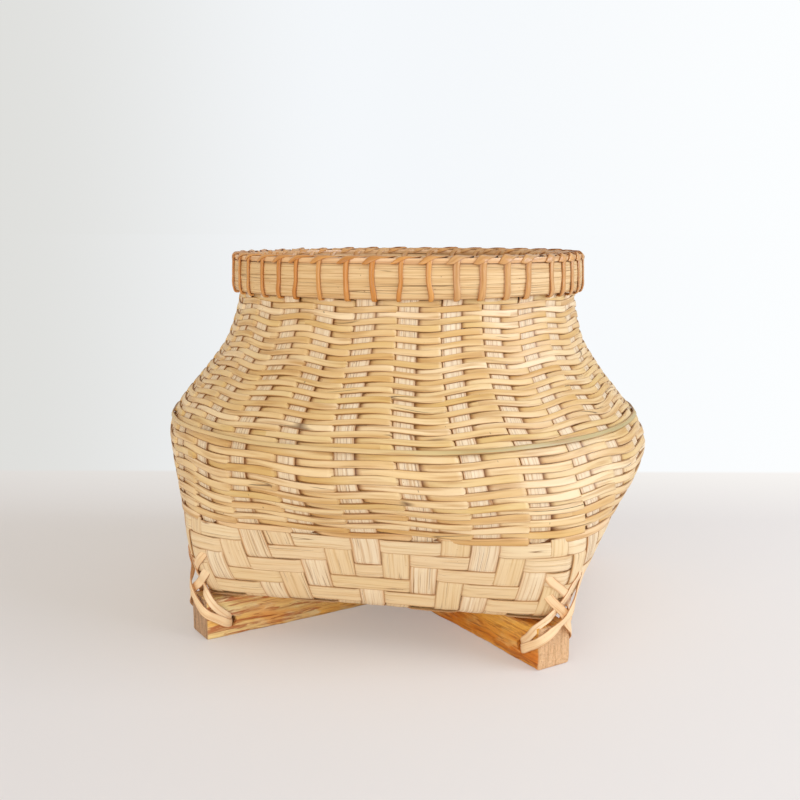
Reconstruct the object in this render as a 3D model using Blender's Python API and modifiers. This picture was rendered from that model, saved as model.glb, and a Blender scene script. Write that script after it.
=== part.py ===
"""Bamboo basket: a twill-woven square base, a wicker belly and a lashed round rim,
tied at its four corners to a foot of two crossed wooden bars."""
import bpy
import bmesh
from math import asin, atan, cos, pi, radians, sin, sqrt
from mathutils import Matrix, Vector

MM = 0.001

# Fits
CLEARANCE = 0.3 * MM            # gap between pieces that touch on the real basket
RAMP_CLEARANCE = 0.3 * MM       # least gap where a strip climbs past another's edge

# Splints, which are woven flat in the base and stand up in the wall
SPLINTS_PER_SIDE = 15           # every second one goes on up to the rim as a stake
SPLINT_PITCH = 8.2 * MM
SPLINT_GAP = 1.8 * MM
STRIP_THICKNESS = 0.5 * MM
RAMP_REACH = 0.3 * MM           # how far a ramp runs on past each side of a gap
STAKE_WIDTH = 6.4 * MM

# Twill wall
BAND_COUNT = 5
BAND_PITCH = 5.3 * MM
BAND_GAP = 1.0 * MM
WALL_MARGIN = 1.6 * MM          # from the outermost splint's own space to the wall
FOLD_RISE = 2.2 * MM            # from the base to the lowest band's own space

# Outline of the wall, as the middle of its thickness; rises are above the base
TWILL_TOP_HALF_WIDTH = 76.3 * MM
BELLY_RISE = 50.5 * MM
BELLY_RADIUS = 88.7 * MM
NECK_RISE = 88.5 * MM
NECK_RADIUS = 65.6 * MM
MOUTH_RADIUS = 62.4 * MM
BASE_SQUARENESS = 12.0          # exponent of the rounded square at the base
ROUNDING_RATE = 1.9             # how fast the square turns round towards the belly
STAKE_SPREAD_RISE = 50.5 * MM   # where the stakes stand evenly round the basket

# Wicker
WICKER_THICKNESS = 2.1 * MM
WICKER_SEAT = 1.05 * MM         # from the twill wall's top to the first wicker row
BINDER_ABOVE_BELLY = 8.0 * MM
BINDER_HEIGHT = 2.4 * MM
BINDER_THICKNESS = 0.7 * MM
WICKER_STEPS = 5                # levels between the twill wall and the binder
SHOULDER_STEPS = 5              # levels between the binder and the rim
WICKER_JOINT_STEP = 3           # the level at which each of the two is parted
LOWER_RIDGES = 2                # ridges in each lower step, which stand for the rows of weavers
SHOULDER_RIDGES = 3             # ridges in each step above the binder
RIDGE_DEPTH = 0.5 * MM

# Rim
RIM_RISE = 116.2 * MM
HOOP_HEIGHT = 12.2 * MM
HOOP_THICKNESS = 1.6 * MM
STAKE_COVER = 0.8 * MM          # how far the hoops stand above the stakes' ends
LASHING_WRAPS = 39
LASHING_WIDTH = 2.2 * MM
LASHING_THICKNESS = 0.6 * MM
LASHING_SLACK = 0.4 * MM        # gap between the lashing and the hoops
LASHING_RUN = 1.5 * MM          # height of the way under the hoops for the lashing
RING_STEPS = 56

# Foot
BAR_WIDTH = 13.2 * MM
BAR_HEIGHT = 14.4 * MM
BAR_OVERHANG = 4.4 * MM         # how far each end stands out past the wall's corner
BAR_EDGE = 0.7 * MM
BAR_TOE_RADIUS = 3.5 * MM
TIE_HOLE_INSET = 9.5 * MM       # from the bar's end to the hole's middle
TIE_HOLE_LEVEL = 5.5 * MM
TIE_HOLE_DIAMETER = 4.0 * MM

# Corner ties
TIE_WIDTH = 1.2 * MM
TIE_THICKNESS = 0.5 * MM
TIE_SLIT = 2                    # the tie enters the wall above this many bands
TIE_TAIL = 4.0 * MM             # how far each end reaches inside the wall
TIE_CROSSING_DROP = 6.5 * MM    # from the slit down to where the strands cross
TIE_STEP_OUT = 0.9 * MM         # how far one strand passes outside the other there
TIE_FOOT_SHARE = 0.9            # where it leaves the wall's foot, as a share of the slit's angle
TIE_BEND = 0.8 * MM             # size of the strip's turns

# Worked out from the sizes above
SPLINT_WIDTH = SPLINT_PITCH - SPLINT_GAP
RAMP_LENGTH = SPLINT_GAP + 2 * RAMP_REACH
WEAVE_LIFT = (STRIP_THICKNESS / 2 * (1 + sqrt(2)) + RAMP_CLEARANCE) * RAMP_LENGTH / SPLINT_GAP
WEAVE_HALF = WEAVE_LIFT + STRIP_THICKNESS / 2
BASE_LEVEL = BAR_HEIGHT + CLEARANCE + WEAVE_HALF
BASE_HALF_WIDTH = SPLINTS_PER_SIDE * SPLINT_PITCH / 2 + WALL_MARGIN
BASE_CORNER = BASE_HALF_WIDTH * 2 ** (1 / 2 - 1 / BASE_SQUARENESS)
MAT_EDGE = (SPLINTS_PER_SIDE * SPLINT_PITCH - SPLINT_GAP) / 2
WALL_START = BASE_LEVEL + FOLD_RISE
TWILL_TOP = WALL_START + BAND_COUNT * BAND_PITCH
WICKER_START = TWILL_TOP + WICKER_SEAT
BELLY_LEVEL = BASE_LEVEL + BELLY_RISE
BINDER_LEVEL = BELLY_LEVEL + BINDER_ABOVE_BELLY
RIM_LEVEL = BASE_LEVEL + RIM_RISE
HOOP_BOTTOM = RIM_LEVEL - HOOP_HEIGHT
WICKER_TOP = HOOP_BOTTOM - LASHING_RUN
STAKE_COUNT = 4 * (SPLINTS_PER_SIDE // 2)
STAKE_OFFSET = (WICKER_THICKNESS - STRIP_THICKNESS) / 2
BAR_LENGTH = 2 * (BASE_CORNER + BAR_OVERHANG)

COLOURS = {
    "splint_bamboo": ((0.78, 0.62, 0.38), 0.6),
    "wicker_bamboo": ((0.72, 0.53, 0.29), 0.6),
    "rim_bamboo": ((0.74, 0.58, 0.37), 0.55),
    "rattan": ((0.68, 0.42, 0.20), 0.5),
    "foot_wood": ((0.52, 0.29, 0.11), 0.7),
}


def clear_scene():
    for item in list(bpy.data.objects):
        bpy.data.objects.remove(item, do_unlink=True)


def make_collection(name):
    collection = bpy.data.collections.new(name)
    bpy.context.scene.collection.children.link(collection)
    return collection


def make_material(name):
    colour, roughness = COLOURS[name]
    material = bpy.data.materials.new(name)
    material.use_nodes = True
    shader = material.node_tree.nodes["Principled BSDF"]
    shader.inputs["Base Color"].default_value = (*colour, 1.0)
    shader.inputs["Roughness"].default_value = roughness
    shader.inputs["Metallic"].default_value = 0.0
    return material


def smooth_between(x, points):
    """Value at x of a smooth curve through the points, with no overshoot."""
    if x <= points[0][0]:
        return points[0][1]
    if x >= points[-1][0]:
        return points[-1][1]
    runs = [b[0] - a[0] for a, b in zip(points, points[1:])]
    slopes = [(b[1] - a[1]) / run for a, b, run in zip(points, points[1:], runs)]
    tangents = [slopes[0]]
    for before, after in zip(slopes, slopes[1:]):
        turns = before * after <= 0
        tangents.append(0.0 if turns else 2 * before * after / (before + after))
    tangents.append(0.0)
    i = max(k for k in range(len(runs)) if points[k][0] <= x)
    t = (x - points[i][0]) / runs[i]
    rise = points[i + 1][1] - points[i][1]
    bend_in = tangents[i] * runs[i]
    bend_out = tangents[i + 1] * runs[i]
    return (points[i][1] + bend_in * t + (3 * rise - 2 * bend_in - bend_out) * t ** 2
            + (bend_in + bend_out - 2 * rise) * t ** 3)


OUTLINE = [
    (BASE_LEVEL, BASE_HALF_WIDTH),
    (TWILL_TOP, TWILL_TOP_HALF_WIDTH),
    (BELLY_LEVEL, BELLY_RADIUS),
    (BASE_LEVEL + NECK_RISE, NECK_RADIUS),
    (HOOP_BOTTOM, MOUTH_RADIUS),
]


def half_width(level):
    return smooth_between(level, OUTLINE)


def squareness(level):
    """Exponent of the wall's plan: high at the square base, 2 where it is round."""
    done = min(max((level - BASE_LEVEL) / (BELLY_LEVEL - BASE_LEVEL), 0.0), 1.0)
    return 2.0 + (BASE_SQUARENESS - 2.0) * (1.0 - done) ** ROUNDING_RATE


def slant(level):
    """Length along the wall for each unit of height."""
    step = 0.1 * MM
    lean = (half_width(level + step) - half_width(level - step)) / (2 * step)
    return sqrt(1 + lean ** 2)


def wall_point(angle, level, offset=0.0):
    """Point on the wall, moved out by offset across the wall's thickness."""
    exponent = squareness(level)
    across = abs(cos(angle))
    along = abs(sin(angle))
    radius = half_width(level) * (across ** exponent + along ** exponent) ** (-1 / exponent)
    outward = Vector((across ** (exponent - 1), along ** (exponent - 1), 0.0))
    outward.x *= 1 if cos(angle) >= 0 else -1
    outward.y *= 1 if sin(angle) >= 0 else -1
    outward.normalize()
    place = Vector((radius * cos(angle), radius * sin(angle), level))
    return place + outward * offset * slant(level)


def new_object(name, mesh, material, collection):
    item = bpy.data.objects.new(name, mesh)
    mesh.materials.append(material)
    collection.objects.link(item)
    return item


def add_strip(name, rings, thickness, material, collection, closed=False):
    """A flat strip through pairs of edge points, given its thickness by Solidify."""
    shape = bmesh.new()
    pairs = [(shape.verts.new(left), shape.verts.new(right)) for left, right in rings]
    followers = pairs[1:] + pairs[:1] if closed else pairs[1:]
    for (left, right), (next_left, next_right) in zip(pairs, followers):
        shape.faces.new((left, right, next_right, next_left))
    mesh = bpy.data.meshes.new(name)
    shape.to_mesh(mesh)
    shape.free()
    strip = new_object(name, mesh, material, collection)
    solidify = strip.modifiers.new("thickness", "SOLIDIFY")
    solidify.thickness = thickness
    solidify.offset = 0.0
    solidify.use_even_offset = True
    return strip


def columns():
    """Places of a side's splints, counted in pitches from the middle of the side."""
    return [index - (SPLINTS_PER_SIDE - 1) / 2 for index in range(SPLINTS_PER_SIDE)]


def upright_outside(row, column):
    """True where a ±Y side's upright passes outside a band; on a ±X side it is false there.

    The base goes on with the same 2/2 twill: there the Y splint passes below where true.
    """
    return (row + int(abs(column)) + 1) % 4 < 2


def column_edges(column, level):
    """Angles of a splint's two edges, from the middle of its side of the wall."""
    place = column * SPLINT_PITCH
    edges = [atan((place + side * SPLINT_WIDTH / 2) / BASE_HALF_WIDTH) for side in (-1, 1)]
    if level <= TWILL_TOP:
        return edges
    spread_level = BASE_LEVEL + STAKE_SPREAD_RISE
    share = min((level - TWILL_TOP) / (spread_level - TWILL_TOP), 1.0)
    share = share * share * (3 - 2 * share)
    middle = column / 2 * 2 * pi / STAKE_COUNT
    half = asin(STAKE_WIDTH / 2 / half_width(level))
    stake = (middle - half, middle + half)
    return [edge + (aim - edge) * share for edge, aim in zip(edges, stake)]


def wicker_levels():
    lower = [WICKER_START + (BINDER_LEVEL - WICKER_START) * k / WICKER_STEPS
             for k in range(WICKER_STEPS + 1)]
    upper = [BINDER_LEVEL + (WICKER_TOP - BINDER_LEVEL) * k / SHOULDER_STEPS
             for k in range(SHOULDER_STEPS + 1)]
    return lower, upper


def wall_ring(column, level, offset):
    """Edge pair of a splint on the -Y side of the wall."""
    return [wall_point(-pi / 2 + edge, level, offset) for edge in column_edges(column, level)]


def fold_ring(column, height):
    """Edge pair where a splint leaves the base, drawn in where the wall's corner is rounded."""
    edge = MAT_EDGE + CLEARANCE + STRIP_THICKNESS / 2
    ring = []
    for side, on_wall in zip((-1, 1), wall_ring(column, WALL_START, 0.0)):
        x = column * SPLINT_PITCH + side * SPLINT_WIDTH / 2
        x = min(abs(x), abs(on_wall.x)) * (1 if x > 0 else -1)
        ring.append(Vector((x, -edge, height)))
    return ring


def splint_side(column, base_height, is_stake):
    """Edge pairs of a splint's standing part on the -Y side, from the base up."""
    top = TWILL_TOP - BAND_GAP / 4 if is_stake else WICKER_START - CLEARANCE
    straight_steps = 3
    rings = [fold_ring(column, base_height)]
    for k in range(straight_steps + 1):
        rings.append(wall_ring(column, WALL_START + (top - WALL_START) * k / straight_steps, 0.0))
    if is_stake:
        lower, upper = wicker_levels()
        for level in lower + upper[1:] + [RIM_LEVEL - STAKE_COVER]:
            rings.append(wall_ring(column, level, STAKE_OFFSET))
    return rings


def base_lift(row, column, weaves):
    if not weaves:
        return 0.0
    return -WEAVE_LIFT if upright_outside(int(abs(row)), column) else WEAVE_LIFT


def base_rings(column, weaves):
    """Edge pairs of a splint across the base, from -Y to +Y."""
    edges = [column * SPLINT_PITCH + side * SPLINT_WIDTH / 2 for side in (-1, 1)]
    rows = columns()
    rings = []
    for row, following in zip(rows, rows[1:]):
        middle = (row + following) / 2 * SPLINT_PITCH
        here = base_lift(row, column, weaves)
        beyond = base_lift(following, column, weaves)
        stops = []
        if here != beyond:
            stops = [(middle - RAMP_LENGTH / 2, here), (middle + RAMP_LENGTH / 2, beyond)]
        elif row == rows[0] or following == rows[-1]:
            stops = [(middle, here)]
        for y, lift in stops:
            rings.append([Vector((x, y, BASE_LEVEL + lift)) for x in edges])
    return rings


def add_splint(name, column, weaves, is_stake, turn, material, collection):
    end_height = BASE_LEVEL + base_lift(columns()[-1], column, weaves)
    front = splint_side(column, end_height, is_stake)
    back = [[Vector((p.x, -p.y, p.z)) for p in ring] for ring in front]
    spin = Matrix.Rotation(turn, 3, "Z")
    rings = [[spin @ p for p in ring] for ring in front[::-1] + base_rings(column, weaves) + back]
    return add_strip(name, rings, STRIP_THICKNESS, material, collection)


def add_splints(material, collection):
    for direction, turn, weaves in (("y", 0.0, True), ("x", pi / 2, False)):
        for index, column in enumerate(columns()):
            is_stake = index % 2 == 1
            kind = "stake_splint" if is_stake else "short_splint"
            name = f"{kind}_{direction}_{index + 1:02d}"
            add_splint(name, column, weaves, is_stake, turn, material, collection)


def band_path(row, level):
    """Points of a band's edge at one level, parallel to each upright that it passes."""
    spans = []
    for side in range(4):
        for column in columns():
            outside = upright_outside(row, column) == (side % 2 == 1)
            start, end = [wall_point(side * pi / 2 + edge, level) for edge in column_edges(column, level)]
            along = (end - start).normalized()
            outward = Vector((along.y, -along.x, 0.0))
            shift = outward * (-WEAVE_LIFT if outside else WEAVE_LIFT) * slant(level)
            spans.append((start + shift, end + shift, along * RAMP_REACH, outside))
    path = []
    for here, beyond in zip(spans, spans[1:] + spans[:1]):
        if here[3] != beyond[3]:
            path += [here[1] - here[2], beyond[0] + beyond[2]]
        else:
            path.append((here[1] + beyond[0]) / 2)
    return path


def add_bands(material, collection):
    half_height = (BAND_PITCH - BAND_GAP) / 2
    for row in range(BAND_COUNT):
        level = WALL_START + (row + 0.5) * BAND_PITCH
        rings = zip(band_path(row, level - half_height), band_path(row, level + half_height))
        add_strip(f"wall_band_{row + 1}", list(rings), STRIP_THICKNESS, material, collection,
                  closed=True)


def channel_edges(level, offset):
    """Points at both edges of each stake's channel, at one level and one depth in the wall."""
    side_room = CLEARANCE / half_width(level)
    edges = []
    for side in range(4):
        for column in columns()[1::2]:
            for angle, room in zip(column_edges(column, level), (-side_room, side_room)):
                edges.append(wall_point(side * pi / 2 + angle + room, level, offset))
    return edges


def ridge_rings(low, high, ridges):
    """Outer points from one level up to the next, out to each ridge and in again between them.

    They lie on straight lines between the two levels, as the stakes do.
    """
    crest = WICKER_THICKNESS / 2
    rings = []
    for k in range(2 * ridges + 1):
        offset = crest if k % 2 else crest - RIDGE_DEPTH
        ends = zip(channel_edges(low, offset), channel_edges(high, offset))
        rings.append([a.lerp(b, k / (2 * ridges)) for a, b in ends])
    return rings


def close_wicker_end(shape, outer, floor, inner, facing_up):
    """Fills the edge of the wicker: under each channel, and between each two of them."""
    for stake in range(STAKE_COUNT):
        left, right = 2 * stake, 2 * stake + 1
        after = (right + 1) % len(inner)
        channel = [inner[left], floor[left], floor[right], inner[right]]
        between = [inner[right], floor[right], outer[right], outer[after], floor[after], inner[after]]
        for corners in (channel, between):
            shape.faces.new(corners if facing_up else corners[::-1])


def add_wicker(name, levels, ridges, material, collection):
    """A closed wall lofted through its levels, with a channel for each stake and ridges between."""
    shape = bmesh.new()

    def add_ring(points):
        return [shape.verts.new(point) for point in points]

    floor_offset = STAKE_OFFSET - STRIP_THICKNESS / 2 - CLEARANCE
    floors = [add_ring(channel_edges(level, floor_offset)) for level in levels]
    inners = [add_ring(channel_edges(level, -WICKER_THICKNESS / 2)) for level in levels]
    first = outer = None
    for step, (low, high) in enumerate(zip(levels, levels[1:])):
        points = ridge_rings(low, high, ridges)
        outers = [outer or add_ring(points[0])] + [add_ring(ring) for ring in points[1:]]
        first, outer = first or outers[0], outers[-1]
        floor, floor_up = floors[step:step + 2]
        inner, inner_up = inners[step:step + 2]
        for k in range(len(inner)):
            after = (k + 1) % len(inner)
            shape.faces.new((inner[after], inner[k], inner_up[k], inner_up[after]))
            if k % 2 == 0:
                shape.faces.new((floor[k], floor[after], floor_up[after], floor_up[k]))
                shape.faces.new([floor[k], floor_up[k]] + [ring[k] for ring in outers[::-1]])
            else:
                shape.faces.new([floor_up[k], floor[k]] + [ring[k] for ring in outers])
                for ring, ring_up in zip(outers, outers[1:]):
                    shape.faces.new((ring[k], ring[after], ring_up[after], ring_up[k]))
    close_wicker_end(shape, first, floors[0], inners[0], facing_up=False)
    close_wicker_end(shape, outer, floors[-1], inners[-1], facing_up=True)
    mesh = bpy.data.meshes.new(name)
    shape.to_mesh(mesh)
    shape.free()
    return new_object(name, mesh, material, collection)


def add_wickers(material, collection):
    lower, upper = wicker_levels()
    joint = WICKER_JOINT_STEP
    stretches = (("lower_wicker", lower[:joint + 1], LOWER_RIDGES),
                 ("belly_wicker", lower[joint:], LOWER_RIDGES),
                 ("shoulder_wicker", upper[:joint + 1], SHOULDER_RIDGES),
                 ("neck_wicker", upper[joint:], SHOULDER_RIDGES))
    for name, levels, ridges in stretches:
        if levels[0] > WICKER_START:
            levels[0] += CLEARANCE / 2
        if levels[-1] < WICKER_TOP:
            levels[-1] -= CLEARANCE / 2
        add_wicker(name, levels, ridges, material, collection)


def add_binder(material, collection):
    offset = WICKER_THICKNESS / 2 + CLEARANCE + BINDER_THICKNESS / 2
    rings = [[wall_point(2 * pi * k / RING_STEPS, BINDER_LEVEL + side * BINDER_HEIGHT / 2, offset)
              for side in (-1, 1)] for k in range(RING_STEPS)]
    add_strip("shoulder_binder", rings, BINDER_THICKNESS, material, collection, closed=True)


def add_hoop(name, inner_radius, outer_radius, bottom, top, material, collection):
    """A flat hoop turned from its section, which runs down its outer side."""
    corners = [(outer_radius, top), (outer_radius, bottom), (inner_radius, bottom), (inner_radius, top)]
    shape = bmesh.new()
    section = [shape.verts.new((radius, 0.0, level)) for radius, level in corners]
    for k in range(len(section)):
        shape.edges.new((section[k], section[(k + 1) % len(section)]))
    mesh = bpy.data.meshes.new(name)
    shape.to_mesh(mesh)
    shape.free()
    hoop = new_object(name, mesh, material, collection)
    screw = hoop.modifiers.new("turn", "SCREW")
    screw.angle = 2 * pi
    screw.steps = RING_STEPS
    screw.render_steps = RING_STEPS
    screw.use_merge_vertices = True
    screw.merge_threshold = 0.00001
    return hoop


def rim_radii():
    """Faces of the rim's layers, from the outer hoop's inner face inwards."""
    stake_outer = MOUTH_RADIUS + WICKER_THICKNESS / 2
    outer_hoop_inner = stake_outer + CLEARANCE
    core_outer = stake_outer - STRIP_THICKNESS - CLEARANCE
    core_inner = MOUTH_RADIUS - WICKER_THICKNESS / 2
    inner_hoop_outer = core_inner - CLEARANCE
    return outer_hoop_inner, core_outer, core_inner, inner_hoop_outer


def add_rim(material, collection):
    outer_hoop_inner, core_outer, core_inner, inner_hoop_outer = rim_radii()
    add_hoop("outer_rim_hoop", outer_hoop_inner, outer_hoop_inner + HOOP_THICKNESS,
             HOOP_BOTTOM, RIM_LEVEL, material, collection)
    add_hoop("inner_rim_hoop", inner_hoop_outer - HOOP_THICKNESS, inner_hoop_outer,
             HOOP_BOTTOM, RIM_LEVEL, material, collection)
    add_hoop("rim_core", core_inner, core_outer, HOOP_BOTTOM, RIM_LEVEL, material, collection)


def clear_of_stakes(angle):
    """The nearest angle at which the lashing passes between two stakes."""
    spacing = 2 * pi / STAKE_COUNT
    half_stake = (STAKE_WIDTH + LASHING_WIDTH) / 2 + 2 * CLEARANCE
    room = spacing / 2 - asin(half_stake / MOUTH_RADIUS)
    middle = (int(angle // spacing) + 0.5) * spacing
    return middle + min(max(angle - middle, -room), room)


def lashing_rings():
    """Edge pairs of the lashing: down outside, in below the hoops, up inside, over the top."""
    outer_hoop_inner, _, _, inner_hoop_outer = rim_radii()
    stand_off = LASHING_SLACK + LASHING_THICKNESS / 2
    outside = outer_hoop_inner + HOOP_THICKNESS + stand_off
    inside = inner_hoop_outer - HOOP_THICKNESS - stand_off
    top = RIM_LEVEL + stand_off
    under = HOOP_BOTTOM - stand_off
    spacing = 2 * pi / LASHING_WRAPS
    rings = []
    for wrap in range(LASHING_WRAPS):
        angle = (wrap + 0.25) * spacing
        through = clear_of_stakes(angle)
        for turn, radius, level in ((angle, outside, top), (through, outside, under),
                                    (through, inside, under), (angle + spacing / 2, inside, top)):
            outward = Vector((cos(turn), sin(turn), 0.0))
            along = Vector((-sin(turn), cos(turn), 0.0)) * LASHING_WIDTH / 2
            place = outward * radius + Vector((0.0, 0.0, level))
            rings.append([place - along, place + along])
    return rings


def least_gap(rings, width):
    """Least distance between neighbouring wraps, measured along their middles."""
    middles = [(left + right) / 2 for left, right in rings]
    steps = 8
    points = [a.lerp(b, k / steps) for a, b in zip(middles, middles[1:]) for k in range(steps)]
    skip = 2 * steps
    return min((points[i] - points[j]).length for i in range(len(points))
               for j in range(i + skip, min(i + 6 * steps, len(points)))) - width


def add_lashing(material, collection):
    rings = lashing_rings()
    add_strip("rim_lashing", rings, LASHING_THICKNESS, material, collection)
    print("rim lashing, least gap to itself in mm:", round(least_gap(rings, LASHING_WIDTH) / MM, 2))


def add_cutter(name, mesh, collection):
    cutter = bpy.data.objects.new(name, mesh)
    cutter.hide_render = True
    cutter.display_type = "WIRE"
    collection.objects.link(cutter)
    return cutter


def box_mesh(name, size, centre):
    shape = bmesh.new()
    bmesh.ops.create_cube(shape, size=1.0)
    bmesh.ops.scale(shape, vec=size, verts=shape.verts)
    bmesh.ops.translate(shape, vec=centre, verts=shape.verts)
    mesh = bpy.data.meshes.new(name)
    shape.to_mesh(mesh)
    shape.free()
    return mesh


def hole_mesh(name, diameter, length, centre):
    """A round cutter that lies along Y."""
    shape = bmesh.new()
    bmesh.ops.create_cone(shape, cap_ends=True, segments=16, radius1=diameter / 2,
                          radius2=diameter / 2, depth=length)
    bmesh.ops.rotate(shape, matrix=Matrix.Rotation(pi / 2, 3, "X"), verts=shape.verts)
    bmesh.ops.translate(shape, vec=centre, verts=shape.verts)
    mesh = bpy.data.meshes.new(name)
    shape.to_mesh(mesh)
    shape.free()
    return mesh


def bar_mesh(name):
    """A squared bar along X with softened edges and rounded toes under its ends."""
    mesh = box_mesh(name, (BAR_LENGTH, BAR_WIDTH, BAR_HEIGHT), (0.0, 0.0, BAR_HEIGHT / 2))
    shape = bmesh.new()
    shape.from_mesh(mesh)
    toes = [edge for edge in shape.edges if all(v.co.z < BAR_EDGE for v in edge.verts)
            and abs(edge.verts[0].co.x - edge.verts[1].co.x) < BAR_EDGE]
    bmesh.ops.bevel(shape, geom=toes, offset=BAR_TOE_RADIUS, segments=3, profile=0.5, affect="EDGES")
    shape.to_mesh(mesh)
    shape.free()
    return mesh


def add_bar(name, turn, notch_centre, material, collection, cutters):
    bar = new_object(name, bar_mesh(name), material, collection)
    bevel = bar.modifiers.new("soft_edges", "BEVEL")
    bevel.width = BAR_EDGE
    bevel.segments = 1
    bevel.limit_method = "ANGLE"
    bevel.angle_limit = radians(60)
    lap = BAR_WIDTH + 2 * CLEARANCE
    tools = [box_mesh(f"{name}_lap", (lap, lap + BAR_WIDTH, BAR_HEIGHT), (0.0, 0.0, notch_centre))]
    for side in (-1, 1):
        tools.append(hole_mesh(f"{name}_tie_hole", TIE_HOLE_DIAMETER, 2 * BAR_WIDTH,
                               (side * (BAR_LENGTH / 2 - TIE_HOLE_INSET), 0.0, TIE_HOLE_LEVEL)))
    for tool in tools:
        cutter = add_cutter(tool.name, tool, cutters)
        cutter.rotation_euler.z = turn
        cut = bar.modifiers.new("cut", "BOOLEAN")
        cut.operation = "DIFFERENCE"
        cut.object = cutter
    bar.rotation_euler.z = turn
    return bar


def add_foot(material, collection, cutters):
    """Two bars half-lapped where they cross, both standing on the ground."""
    lap_share = BAR_HEIGHT / 2
    add_bar("foot_bar_lower", pi / 4, lap_share - CLEARANCE / 2 + BAR_HEIGHT / 2,
            material, collection, cutters)
    add_bar("foot_bar_upper", -pi / 4, lap_share + CLEARANCE / 2 - BAR_HEIGHT / 2,
            material, collection, cutters)


def tie_strand(diagonal, side, step_out):
    """Half of a tie as (point, facing) pairs, from inside the wall to the bar's hole.

    It leaves the wall on one side of the corner and comes down on the bar's other side.
    """
    outward = Vector((cos(diagonal), sin(diagonal), 0.0))
    aside = Vector((-sin(diagonal), cos(diagonal), 0.0)) * side
    upward = Vector((0.0, 0.0, 1.0))
    slit_level = WALL_START + TIE_SLIT * BAND_PITCH
    last, before_last = columns()[-1], columns()[-2]
    gap_edges = column_edges(before_last, slit_level)[1], column_edges(last, slit_level)[0]
    slit_turn = pi / 4 - sum(gap_edges) / 2
    off_wall = WEAVE_HALF + CLEARANCE + TIE_THICKNESS
    beside_bar = BAR_WIDTH / 2 + CLEARANCE + TIE_THICKNESS / 2
    hole_reach = BAR_LENGTH / 2 - TIE_HOLE_INSET
    crossing_level = slit_level - TIE_CROSSING_DROP

    def on_wall(turn_share, level, offset):
        return wall_point(diagonal + side * slit_turn * turn_share, level, offset)

    def on_bar(reach, lateral, level):
        return outward * reach - aside * lateral + upward * level

    normal = (on_wall(1.0, slit_level, off_wall) - on_wall(1.0, slit_level, 0.0)).normalized()
    crossing = on_wall(0.0, crossing_level, off_wall + step_out)
    half_way = on_wall(0.5, (slit_level + crossing_level) / 2, off_wall + step_out / 2)
    past_wall = on_wall(-TIE_FOOT_SHARE, WALL_START, off_wall + step_out / 2 + TIE_THICKNESS)
    over_bar = on_bar(BASE_CORNER - TIE_BEND, beside_bar + TIE_BEND / 2, BAR_HEIGHT)
    return [
        (on_wall(1.0, slit_level, -TIE_TAIL), upward),
        (on_wall(1.0, slit_level, off_wall - TIE_BEND), upward),
        (on_wall(1.0, slit_level - TIE_BEND, off_wall), normal),
        (half_way, (normal + outward).normalized()),
        (crossing, outward),
        (past_wall, (outward - aside).normalized()),
        (over_bar, (outward - aside * 2).normalized()),
        (on_bar(hole_reach + TIE_BEND, beside_bar, (BAR_HEIGHT + TIE_HOLE_LEVEL) / 2), -aside),
        (on_bar(hole_reach, beside_bar, TIE_HOLE_LEVEL + TIE_BEND), -aside),
        (on_bar(hole_reach, beside_bar - TIE_BEND, TIE_HOLE_LEVEL), -upward),
    ]


def add_tie(name, diagonal, material, collection):
    """One strip from inside the wall, over the corner, through the bar and back."""
    first = tie_strand(diagonal, 1, 0.0)
    second = tie_strand(diagonal, -1, TIE_STEP_OUT)
    path = first + second[::-1]
    rings = []
    for k, (place, facing) in enumerate(path):
        before = path[max(k - 1, 0)][0]
        after = path[min(k + 1, len(path) - 1)][0]
        along = (after - before).normalized()
        across = along.cross(facing).normalized() * TIE_WIDTH / 2
        rings.append([place - across, place + across])
    add_strip(name, rings, TIE_THICKNESS, material, collection)


def add_ties(material, collection):
    corners = ("back_right", "back_left", "front_left", "front_right")
    for k, corner in enumerate(corners):
        add_tie(f"corner_tie_{corner}", pi / 4 + k * pi / 2, material, collection)


def main():
    clear_scene()
    basket = make_collection("bamboo_basket")
    cutters = make_collection("cutters")
    materials = {name: make_material(name) for name in COLOURS}
    add_foot(materials["foot_wood"], basket, cutters)
    add_splints(materials["splint_bamboo"], basket)
    add_bands(materials["splint_bamboo"], basket)
    add_wickers(materials["wicker_bamboo"], basket)
    add_binder(materials["splint_bamboo"], basket)
    add_rim(materials["rim_bamboo"], basket)
    add_lashing(materials["rattan"], basket)
    add_ties(materials["rattan"], basket)


main()
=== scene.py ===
import math
import bpy
import numpy as np
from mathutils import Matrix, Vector, noise


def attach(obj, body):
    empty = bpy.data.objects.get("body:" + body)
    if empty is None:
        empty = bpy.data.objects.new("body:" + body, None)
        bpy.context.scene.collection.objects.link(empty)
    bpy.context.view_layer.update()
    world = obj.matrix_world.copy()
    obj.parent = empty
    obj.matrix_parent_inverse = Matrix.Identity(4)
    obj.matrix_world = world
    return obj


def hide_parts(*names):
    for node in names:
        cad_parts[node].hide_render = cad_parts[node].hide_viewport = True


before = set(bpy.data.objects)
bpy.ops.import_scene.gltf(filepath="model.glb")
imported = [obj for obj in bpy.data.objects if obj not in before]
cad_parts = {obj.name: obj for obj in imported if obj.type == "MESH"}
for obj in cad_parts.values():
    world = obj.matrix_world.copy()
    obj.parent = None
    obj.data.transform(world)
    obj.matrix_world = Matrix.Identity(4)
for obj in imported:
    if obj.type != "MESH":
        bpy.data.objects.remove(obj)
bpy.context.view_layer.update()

mm = 0.001
dice = np.random.default_rng(41)

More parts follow.
